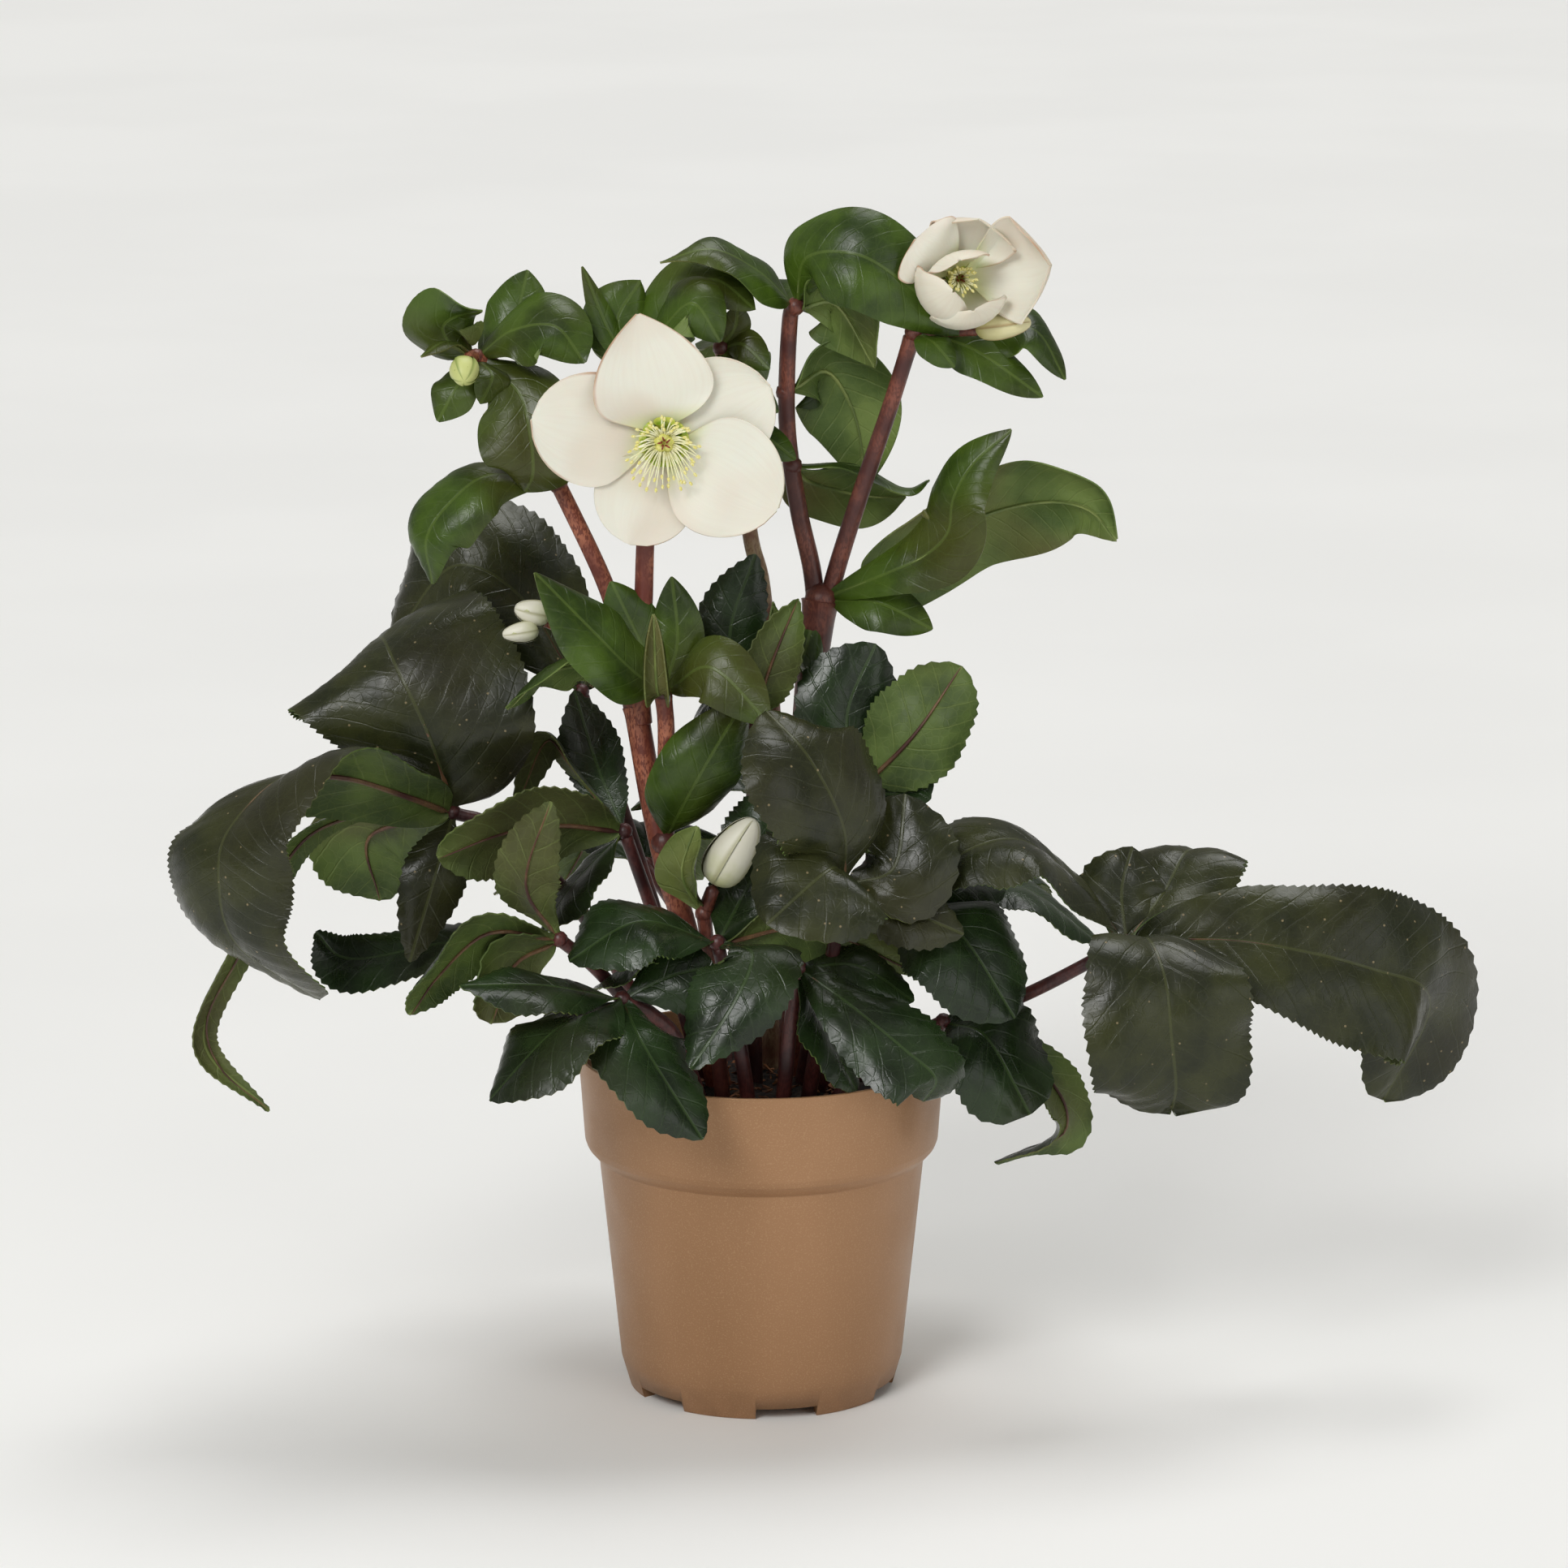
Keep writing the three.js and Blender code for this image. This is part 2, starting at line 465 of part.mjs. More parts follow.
// Whorls of bracts: each has a hub on a stem, a radius for the sleeve round it, and bracts whose
// paths run on from the hub.
const WHORLS = {
  bracts_left_top: { hub: [-99, 0, 371], sleeve: 4, bracts: [
    { width: 28, heading: 90, fold: 20,
      path: [[-108, -3, 377], [-110, -7, 383], [-105, -9, 387], [-96, -12, 389]] },
    { width: 30, roll: 45, path: [[-86, -3, 381], [-71, -8, 383], [-61, -12, 371]] },
    { width: 22, heading: 80, path: [[-86, 8, 384], [-81, 10, 400]] },
    { width: 16, heading: 250, path: [[-106, -8, 361], [-112, -9, 350]] },
    { width: 8, path: [[-108, -14, 379], [-117, -22, 375]] },
    { width: 13, heading: 300, path: [[-93, -10, 366], [-97, -14, 357]] },
    { width: 36, heading: 270, cup: 20,
      path: [[-84, -8, 360], [-80, -13, 346], [-79, -14, 333], [-82, -8, 325]] },
  ] },
  bract_left_hanging: { hub: [-71, 3, 326], sleeve: 4.6, bracts: [
    { width: 33, roll: -30, cup: 60,
      path: [[-94, -8, 331], [-107, -13, 323], [-116, -16, 310], [-114, -16, 294]] },
  ] },
  bracts_behind_flower: { hub: [-41, 0, 368], sleeve: 3.8, bracts: [
    { width: 9, heading: 120, path: [[-52, 4, 378], [-62, 6, 402]] },
    { width: 26, roll: 50, path: [[-33, 8, 388], [-17, 9, 397], [-2, 5, 387]] },
    { width: 26, roll: 50, path: [[-32, -4, 384], [-23, -8, 391], [-14, -10, 378]] },
    { width: 24, heading: 100, path: [[-50, 8, 382], [-42, 14, 396]] },
    { width: 26, heading: 110, path: [[-46, 24, 376], [-54, 42, 362]] },
  ] },
  bracts_middle: { hub: [-34, -24, 257], sleeve: 4.4, bracts: [
    { width: 30, roll: -50, path: [[-45, -32, 267], [-58, -35, 281], [-78, -31, 301]] },
    { width: 22, heading: 110, path: [[-43, -22, 277], [-52, -22, 296]] },
    { width: 18, heading: 90, path: [[-29, -21, 275], [-31, -18, 297]] },
    { width: 16, heading: 270, cup: 120, path: [[-36, -36, 262], [-37, -39, 288]] },
    { width: 15, roll: 40, path: [[-24, -28, 266], [-14, -28, 278]] },
    { width: 24, roll: 60, path: [[-17, -34, 268], [3, -42, 250]] },
  ] },
  bract_middle_left: { hub: [-44, -10, 250], sleeve: 5.8, bracts: [
    { width: 34, roll: 30, path: [[-57, -20, 266], [-75, -28, 265], [-88, -32, 253]] },
  ] },
  bract_fork: { hub: [-34, -17, 202], sleeve: 6, bracts: [
    { width: 33, heading: 100, cup: 60, path: [[-28, -26, 216], [-18, -30, 235], [-5, -27, 256]] },
  ] },
  bracts_back: { hub: [-14, 14, 372], sleeve: 3.8, bracts: [
    { width: 10, heading: 90, path: [[-9, 10, 380], [-8, 8, 388]] },
    { width: 12, roll: 60, path: [[-6, 8, 374], [3, 4, 366]] },
    { width: 14, roll: 50, path: [[-8, 2, 362], [6, -2, 352]] },
    { width: 16, heading: 300, path: [[-10, -2, 352], [2, -6, 344], [12, -6, 336]] },
    { width: 26, path: [[-10, 38, 370], [-2, 58, 350]] },
  ] },
  bracts_right_top: { hub: [12, 12, 387], sleeve: 4.2, bracts: [
    { shape: 'clasping', width: 24, roll: -25, path: [[-1, 8, 400], [-17, 5, 408], [-35, 2, 404]] },
    { width: 37, roll: 60, path: [[16, 0, 406], [34, -8, 408], [52, -6, 396], [71, 3, 378]] },
    { width: 20, path: [[28, 20, 404], [55, 18, 409]] },
    { width: 38, roll: -50, path: [[27, 10, 388], [40, 9, 366]] },
    { width: 30, path: [[16, 34, 392], [22, 54, 376]] },
  ] },
  bract_right_upper: { hub: [8.5, 16, 356], sleeve: 4.4, bracts: [
    { width: 36, roll: -60, path: [[23, 26, 362], [33, 30, 345], [37, 31, 320]] },
  ] },
  bract_right_middle: { hub: [11, 16, 330], sleeve: 4.4, bracts: [
    { width: 28, roll: -60, path: [[18, 27, 322], [36, 30, 317], [51, 27, 317]] },
    { width: 12, path: [[32, 22, 329], [50, 20, 321], [59, 16, 325]] },
  ] },
  bracts_far_right: { hub: [53, 0, 380], sleeve: 4.2, bracts: [
    { width: 19, roll: 50, path: [[74, 5, 373], [98, 0, 357]] },
    { width: 22, roll: 40, path: [[76, 13, 378], [95, 11, 379], [106, 7, 362]] },
    { width: 13, heading: 290, path: [[60, -7, 377], [67, -9, 369]] },
  ] },
  bracts_crotch: { hub: [21, 11, 283], sleeve: 7.6, bracts: [
    { width: 29, roll: 60, rows: 6,
      path: [[44, -2, 295], [57, -6, 302], [65, -10, 311], [67, -9, 323], [74, -7, 335], [87, -6, 346.5]] },
    { width: 44, roll: -60, rows: 5,
      path: [[38, 18, 285], [57, 22, 298], [76, 24, 310], [96, 26, 315], [114, 24, 314], [125, 18, 303]] },
    { width: 20, roll: 50, path: [[41, 0, 284], [60, -2, 275]] },
    { width: 18, heading: 250, cup: 100, path: [[12, -4, 262], [4, -8, 286]] },
  ] },
  bract_low: { hub: [-20, -36, 181], sleeve: 4, bracts: [
    { width: 20, heading: 230, cup: 60, path: [[-27, -41, 197], [-22, -44, 214]] },
  ] },
};

// ---------------------------------------------------------------- blooms and buds
// Each flower opens along `axis` from its base. `toward` is where its petals' zero angle points.
// A petal's path is given as [out, along] pairs, outwards from the axis and along it.
const FLOWERS = {
  open: {
    base: [-33.4, -34.5, 347.6], axis: [0.05, -1, 0.1], heart: 5, cup: -14,
    petals: [
      { shape: 'tipped', angle: 101, width: 40, path: [[4, 2.4], [18, 5], [45, 9]] },
      { angle: 169, width: 38, path: [[4, 1.4], [20, 4], [46, 8]] },
      { angle: 250, width: 33, path: [[4, 0.2], [16, 1.4], [37, 5]] },
      { angle: 329, width: 40, path: [[4, 1.8], [18, 4.6], [45, 8.5]] },
      { angle: 27, width: 37, path: [[4, 0.8], [18, 2.6], [41, 5.5]] },
    ],
    stamens: { count: 12, out: [2.2, 13], along: [6.5, 9], droop: 3 },
    nectaries: { count: 6, out: 8, along: 5.4 },
  },
  opening: {
    base: [68, 5, 398.5], axis: [0.1, -0.98, 0.1], heart: 3.6, cup: -40,
    petals: [
      { angle: 8, width: 43, cup: -60, path: [[3, 2], [14, 3], [25, 8], [31, 16]] },
      { angle: 72, width: 32, cup: -40, path: [[3, 0.5], [11, 2.5], [19, 7], [21, 12]] },
      { angle: 138, width: 27, cup: 10, path: [[3, 3], [10, 9], [16, 13], [21, 13]] },
      { angle: 106, width: 22, path: [[3, 3], [8, 9], [9, 16], [7, 22]] },
      { angle: 222, width: 30, cup: -55, path: [[3, 2], [12, 5], [16, 12], [13, 19], [6, 24]] },
      { angle: 285, width: 30, cup: -55, path: [[3, 1], [12, 3], [17, 9], [16, 17], [11, 22]] },
    ],
    stamens: { count: 7, out: [1.6, 6], along: [4, 13], droop: 0 },
    nectaries: { count: 0, out: 0, along: 0 },
  },
};

const BUDS = {
  bud_round: [{ centre: [-102, -22, 369.5], radius: 5.4, length: 11, axis: [0, -0.8, -0.4] }],
  bud_pair: [
    { centre: [-79.5, -19, 284.5], radius: 4.9, length: 13, axis: [-1, -0.2, 0.3] },
    { centre: [-83.5, -22, 278], radius: 3.9, length: 13, axis: [-1, -0.2, -0.1] },
  ],
  bud_cream: [{ centre: [84, -1, 382.5], radius: 5.2, length: 20, axis: [1, -0.1, 0.12] }],
  bud_low: [{ centre: [-9.5, -39, 204], radius: 8.4, length: 28, axis: [0.5, -0.1, 0.8] }],
};

const HEART_RADIUS = 3;
const SHORT_STAMEN = 0.72; // reach of every second stamen, of the longest
const BUD_TAPER = 0.22; // how much narrower a bud is at its tip than at its middle
const FILAMENT = { radius: 0.4, tip: 0.8, sides: 3 };
const NECTARY = { radius: 0.8, tip: 1.7, sides: 4 };

// Axes of a flower: across, square to it, and along the opening.
function flowerAxes(axis) {
  const along = vec(axis).normalize();
  const across = new THREE.Vector3().crossVectors(new THREE.Vector3(0, 0, 1), along).normalize();
  return [across, new THREE.Vector3().crossVectors(along, across), along];
}

// A point of a flower from its polar place round the axis, as seen from in front of the bloom.
function flowerPoint({ base, axis }, angle, out, along) {
  const [across, up, forward] = flowerAxes(axis);
  return vec(base).addScaledVector(across, out * Math.cos(angle)).addScaledVector(up, out * Math.sin(angle))
    .addScaledVector(forward, along).toArray();
}

function petals(flower, grow) {
  const [across, up, forward] = flowerAxes(flower.axis);
  const blades = flower.petals.map(({ shape = 'petal', angle, width, path, cup = flower.cup }) => {
    const turn = radians(angle);
    const outward = across.clone().multiplyScalar(Math.cos(turn)).addScaledVector(up, Math.sin(turn));
    const level = new THREE.Vector3().crossVectors(forward, outward);
    const points = path.map(([out, along]) => flowerPoint(flower, turn, out, along));
    return blade({ shape, path: points, width, level, fold: 0, cup, wave: 0.02, rows: 3 }, grow);
  });
  return fuse([ball(flowerPoint(flower, 0, 0, 1.5), flower.heart, grow), ...blades]);
}

function heartOfFlower(flower, grow) {
  const { stamens, nectaries } = flower;
  const core = flowerPoint(flower, 0, 0, stamens.along[0]);
  const filaments = Array.from({ length: stamens.count }, (_, k) => {
    const angle = (k / stamens.count) * 2 * Math.PI;
    const reach = stamens.out[1] * (k % 2 ? 1 : SHORT_STAMEN);
    const root = flowerPoint(flower, angle, stamens.out[0], stamens.along[0]);
    const end = vec(flowerPoint(flower, angle, reach, stamens.along[1]));
    end.z -= stamens.droop;
    return stemTube({ ...FILAMENT, path: [root, end.toArray()] }, grow);
  });
  const cups = Array.from({ length: nectaries.count }, (_, k) => {
    const angle = ((k + 0.5) / nectaries.count) * 2 * Math.PI;
    const root = flowerPoint(flower, angle, 2, stamens.along[0] - 0.6);
    const mouth = flowerPoint(flower, angle, nectaries.out, nectaries.along + 1);
    return stemTube({ ...NECTARY, path: [root, mouth] }, grow);
  });
  return fuse([ball(core, HEART_RADIUS, grow), ...filaments, ...cups]);
}

// A bud is an egg: a sphere drawn out along its axis and narrowed towards the tip.
function bud({ centre, radius, length, axis }, grow) {
  const egg = new THREE.IcosahedronGeometry(1, 1);
  const turn = new THREE.Quaternion().setFromUnitVectors(new THREE.Vector3(0, 0, 1), vec(axis).normalize());
  const points = egg.getAttribute('position');
  for (let i = 0; i < points.count; i++) {
    const p = new THREE.Vector3().fromBufferAttribute(points, i);
    const girth = (radius + grow) * (1 - BUD_TAPER * p.z);
    p.set(p.x * girth, p.y * girth, p.z * (length / 2 + grow)).applyQuaternion(turn).add(vec(centre));
    points.setXYZ(i, p.x, p.y, p.z);
  }
  return solid(egg);
}

// ---------------------------------------------------------------- pot and compost
function lathe(profile, sides) {
  const outline = profile.map(([r, z]) => new THREE.Vector2(r, z));
  return new THREE.LatheGeometry(outline, sides).rotateX(Math.PI / 2);
}

function pot() {
  const wallTop = POT_RIM_RADIUS - POT_WALL;
  const bandInner = POT_BAND_RADIUS - POT_WALL;
  const body = solid(lathe([
    [0, 0], [POT_PAD_RADIUS, 0], [POT_PAD_RADIUS + 1, POT_RECESS], [POT_FOOT_RADIUS - FOOT_RING, POT_RECESS],
    [POT_FOOT_RADIUS - FOOT_RING + 1, 0], [POT_FOOT_RADIUS, 0], [POT_BODY_LOW_RADIUS, POT_BODY_LOW],
    [POT_BODY_TOP_RADIUS, POT_BODY_TOP], [POT_BODY_TOP_RADIUS + POT_LIP.out, POT_BODY_TOP + POT_LIP.up],
    [POT_BAND_RADIUS - BAND_EDGE.out, POT_BAND_BOTTOM - BAND_EDGE.up], [POT_BAND_RADIUS, POT_BAND_BOTTOM],
    [POT_RIM_RADIUS, POT_HEIGHT], [wallTop, POT_HEIGHT],
    [bandInner, POT_BAND_BOTTOM], [POT_BODY_TOP_RADIUS - POT_WALL, POT_BODY_TOP],
    [POT_BODY_LOW_RADIUS - POT_WALL, POT_BODY_LOW], [POT_FOOT_RADIUS - POT_WALL, POT_FLOOR], [0, POT_FLOOR],
  ], POT_SIDES));
  const cutters = [];
  for (let k = 0; k < NOTCHES; k++) {
    const turn = radians(NOTCH_FIRST) + (k / NOTCHES) * 2 * Math.PI;
    const notch = new THREE.BoxGeometry(3 * FOOT_RING, NOTCH_WIDTH, NOTCH_HEIGHT * 2);
    cutters.push(solid(notch.translate(POT_FOOT_RADIUS, 0, 0).rotateZ(turn)));
    const drain = new THREE.CylinderGeometry(DRAIN_RADIUS, DRAIN_RADIUS, 3 * POT_FLOOR, DRAIN_SIDES);
    cutters.push(solid(drain.rotateX(Math.PI / 2).translate(DRAIN_CIRCLE, 0, POT_FLOOR).rotateZ(turn)));
  }
  return body.subtract(fuse(cutters));
}

// Compost fills the pot; its top is a lumpy disc, low round the wall.
function soilHeight(x, y) {
  const lumps = Math.sin(x * 0.31 + 1) * Math.cos(y * 0.27) + 0.6 * Math.sin(x * 0.11 - y * 0.36);
  const edge = Math.hypot(x, y) / POT_RIM_RADIUS;
  return SOIL_TOP + SOIL_ROUGHNESS * lumps - SOIL_EDGE_DROP * edge ** 6;
}

function soil() {
  const inset = POT_WALL + 2 * GAP;
  const topRadius = THREE.MathUtils.mapLinear(SOIL_TOP, POT_BAND_BOTTOM, POT_HEIGHT, POT_BAND_RADIUS,
    POT_RIM_RADIUS) - inset - GAP;
  const rings = Array.from({ length: SOIL_RINGS }, (_, k) => [topRadius * (1 - k / SOIL_RINGS), SOIL_TOP]);
  const shape = lathe([
    [0, POT_FLOOR + GAP], [POT_FOOT_RADIUS - inset, POT_FLOOR + GAP],
    [POT_BODY_LOW_RADIUS - inset, POT_BODY_LOW], [POT_BODY_TOP_RADIUS - inset, POT_BODY_TOP],
    [POT_BAND_RADIUS - inset - 1, POT_BAND_BOTTOM], ...rings, [0, SOIL_TOP],
  ], SOIL_SIDES);
  const points = shape.getAttribute('position');
  for (let i = 0; i < points.count; i++) {
    if (points.getZ(i) === SOIL_TOP) points.setZ(i, soilHeight(points.getX(i), points.getY(i)));
  }
  return solid(shape);
}

// ---------------------------------------------------------------- assembly
const group = new THREE.Group();
const placed = []; // the finished solids, grown by GAP, that later ones keep clear of

function addNode(name, shape, paint) {
  const mesh = shape.getMesh();
  const geometry = new THREE.BufferGeometry();
  geometry.setAttribute('position', new THREE.BufferAttribute(mesh.vertProperties, 3));
  geometry.setIndex(new THREE.BufferAttribute(mesh.triVerts, 1));
  const node = new THREE.Mesh(geometry, new THREE.MeshStandardMaterial(PAINT[paint]));
  node.name = name;
  group.add(node);
}

// `build` makes a piece, or the piece grown all round by its argument.
function addGrowth(name, build, paint) {
  let shape = build(0);
  for (const neighbour of placed) shape = shape.subtract(neighbour);
  placed.push(build(GAP));
  addNode(name, mainBody(shape), paint);
}

// Blades round a hub. Each starts part of the way out of the hub's ball.
function whorl(hub, radius, shape, blades, grow) {
  const grown = blades.map((options) => {
    const start = vec(hub);
    const toward = vec(options.path[0]).sub(start).setLength(radius * SUNK_ROOT);
    return blade({ shape, ...options, path: [start.add(toward).toArray(), ...options.path] }, grow);
  });
  return fuse([ball(hub, radius, grow), ...grown]);
}

for (const [name, tubes] of Object.entries(STEMS)) {
  addGrowth(`stem_${name}`, (grow) => fuse(tubes.map((tube) => stemTube(tube, grow))), 'stem');
}
for (const [name, { petiole }] of Object.entries(LEAVES)) {
  const end = vec(petiole.at(-1));
  end.add(vec(petiole.at(-2)).sub(end).setLength(LEAF_HUB_RADIUS + GAP));
  const tube = { ...PETIOLE, path: [...petiole.slice(0, -1), end.toArray()] };
  addGrowth(`petiole_${name}`, (grow) => stemTube(tube, grow), 'petiole');
}
for (const [name, flower] of Object.entries(FLOWERS)) {
  addGrowth(`heart_${name}`, (grow) => heartOfFlower(flower, grow), 'stamen');
  addGrowth(`petals_${name}`, (grow) => petals(flower, grow), 'petal');
}
for (const [name, buds] of Object.entries(BUDS)) {
  addGrowth(name, (grow) => fuse(buds.map((one) => bud(one, grow))), 'bud');
}
for (const [name, { hub, sleeve, bracts }] of Object.entries(WHORLS)) {
  addGrowth(name, (grow) => whorl(hub, sleeve, 'bract', bracts, grow), 'bract');
}
for (const [name, { petiole, leaflets }] of Object.entries(LEAVES)) {
  const hub = petiole.at(-1);
  addGrowth(`leaf_${name}`, (grow) => whorl(hub, LEAF_HUB_RADIUS, 'leaflet', leaflets, grow), 'leaf');
}
addGrowth('soil', soil, 'soil');
addGrowth('pot', pot, 'pot');

export default group;
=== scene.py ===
from functools import cache
from math import atan2, ceil, cos, exp, hypot, pi, radians, sin, tau
from random import Random

import bmesh
import bpy
from mathutils import Matrix, Quaternion, Vector, noise


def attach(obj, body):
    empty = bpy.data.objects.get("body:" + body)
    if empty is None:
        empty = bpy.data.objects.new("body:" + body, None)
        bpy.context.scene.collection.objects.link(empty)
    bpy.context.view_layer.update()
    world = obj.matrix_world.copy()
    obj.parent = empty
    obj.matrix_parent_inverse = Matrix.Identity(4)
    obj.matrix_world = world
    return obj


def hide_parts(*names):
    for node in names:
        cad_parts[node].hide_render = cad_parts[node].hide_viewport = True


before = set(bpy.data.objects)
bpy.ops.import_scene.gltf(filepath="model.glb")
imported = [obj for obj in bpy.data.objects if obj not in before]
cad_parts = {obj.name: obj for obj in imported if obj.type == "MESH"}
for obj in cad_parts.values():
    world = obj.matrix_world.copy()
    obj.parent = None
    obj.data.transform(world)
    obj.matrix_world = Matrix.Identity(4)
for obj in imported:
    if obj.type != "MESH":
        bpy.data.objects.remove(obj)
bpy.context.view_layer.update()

MM = 0.001

# ---------------------------------------------------------------- sizes
ROOT = 96  # height inside the compost where every stem starts
LEAF_THICKNESS = 0.55
PETAL_THICKNESS = 0.6
COLUMN = 3.4  # width of a blade's strips
FEWEST_STRIPS = 3  # on each half
TOOTH_PITCH = 3.3
FEWEST_TEETH = 5
TOOTH_DEPTH = 1.2
TOOTH_DEPTH_WIDTH = 30  # from this width on a blade's teeth have their full depth
TEETH_GROW = (0.1, 0.35)  # share of a blade's length where its teeth start and are full
ROWS_A_TOOTH = 3
RIB_GIRTH = 0.55  # radius of the rib under a blade of no width
RIB_GROWTH = 1 / 90  # and what it gains for each millimetre of width
RIB_PARTS = 8
RIB_SET = 0.3  # how far its middle lies under the blade's lower face, of its radius
RIB_TUBE = {"tip": 0.25, "sides": 6, "step": 4}
STEM_TUBE = {"sides": 14, "step": 2.5}
STEM_KNOBS = 0.22  # how much a stem swells at its ends, of its radius
PETIOLE_KNOBS = 0.1
KNOB_REACH = 6  # how far a stem's swelling runs from its end
FEWEST_ROWS = 4  # along a stem
UPRIGHT = 0.9  # from this much rise for each millimetre on, a stem counts as upright
SEAM_GAP = 1e-6  # metres between points that a grid's seam or pole joins
POLE_GAP = 1e-7  # and between those that a turned shape does
LEAF_HUB_RADIUS = 3.8
SUNK_ROOT = 0.6  # how far out of its hub's centre a blade starts, of the hub's radius
HUB_GIRTH = 0.8  # radius of the knob in a hub, of the hub's radius
PETIOLE = {"radius": 2.8, "tip": 2.2}
SWAY_SIZE = 26  # width of the unevenness in a blade
SWAY = 0.05  # its height at the margin, of the blade's width
SIDE_VEINS = {"leaf": 9.0, "bract": 6.5}  # distance between side veins, along the rib
VEIN_SLOPE = 0.85  # how far a side vein runs towards the tip for each millimetre outwards
PUCKER = 0.4  # how far a leaf bulges between its side veins
PUCKER_WIDTH = 40  # from this width on a blade bulges in full
RIB_CHANNEL = 4  # half-width of the strip along the rib that the bulges fade into
RIPPLES = 14  # radians of margin ripple over a blade's length
RIPPLE_SHIFT = 1.3  # radians by which one side's ripple leads the other's
LEAST_BEND = 1e-3  # radians across a flat blade, which the sums can't take as 0
SHARP = 50  # degrees between two faces, from which on their edge isn't smoothed

# Half-width along a blade, 0 at both ends and 1 at its widest, as s^rise * (1 - s)^fall. `root`
# and `point` are the half-widths that it ends in.
OUTLINE = {
    "leaflet": {"rise": 1.3, "fall": 1, "root": 1.1, "point": 0.4},
    "broad": {"rise": 0.9, "fall": 0.7, "root": 1.1, "point": 0.4},
    "draped": {"rise": 0.6, "fall": 0.4, "root": 1.1, "point": 0.4},
    "bract": {"rise": 1, "fall": 0.9, "root": 1.4, "point": 0.4},
    "clasping": {"rise": 0.5, "fall": 1.1, "root": 1.4, "point": 0.4},
    "petal": {"rise": 1, "fall": 0.62, "root": 1.6, "point": 0.6},
    "tipped": {"rise": 1.15, "fall": 1, "root": 1.6, "point": 0.6},  # a petal with a drawn-out tip
}
SMOOTH_EDGED = {"bract", "clasping", "petal", "tipped"}
PETALS = {"petal", "tipped"}
# The form of a blade where its row says nothing, and of a sepal, which is called a petal here.
BLADE = {"roll": 0, "fold": 14, "cup": 34, "wave": 0.04, "skew": 0}
PETAL = {"shape": "petal", "fold": 0, "wave": 0.02}

# ---------------------------------------------------------------- the plant's growth
def blade_on(width, *path, **form):
    """A blade on a rib through these points. Where `form` doesn't say, its shape is a plain
    leaflet, bract or petal, as its table has it, and the rest is as in BLADE."""
    return {"width": width, "path": list(path), **form}


def leaf_on(petiole, *leaflets):
    """A leaf's petiole, up to the hub where its leaflets meet, and its leaflets."""
    return {"petiole": petiole, "leaflets": leaflets}


def tube(radius, tip, *path):
    """A stem along these points, and its radius at the start and at the tip."""
    return {"radius": radius, "tip": tip, "path": list(path)}


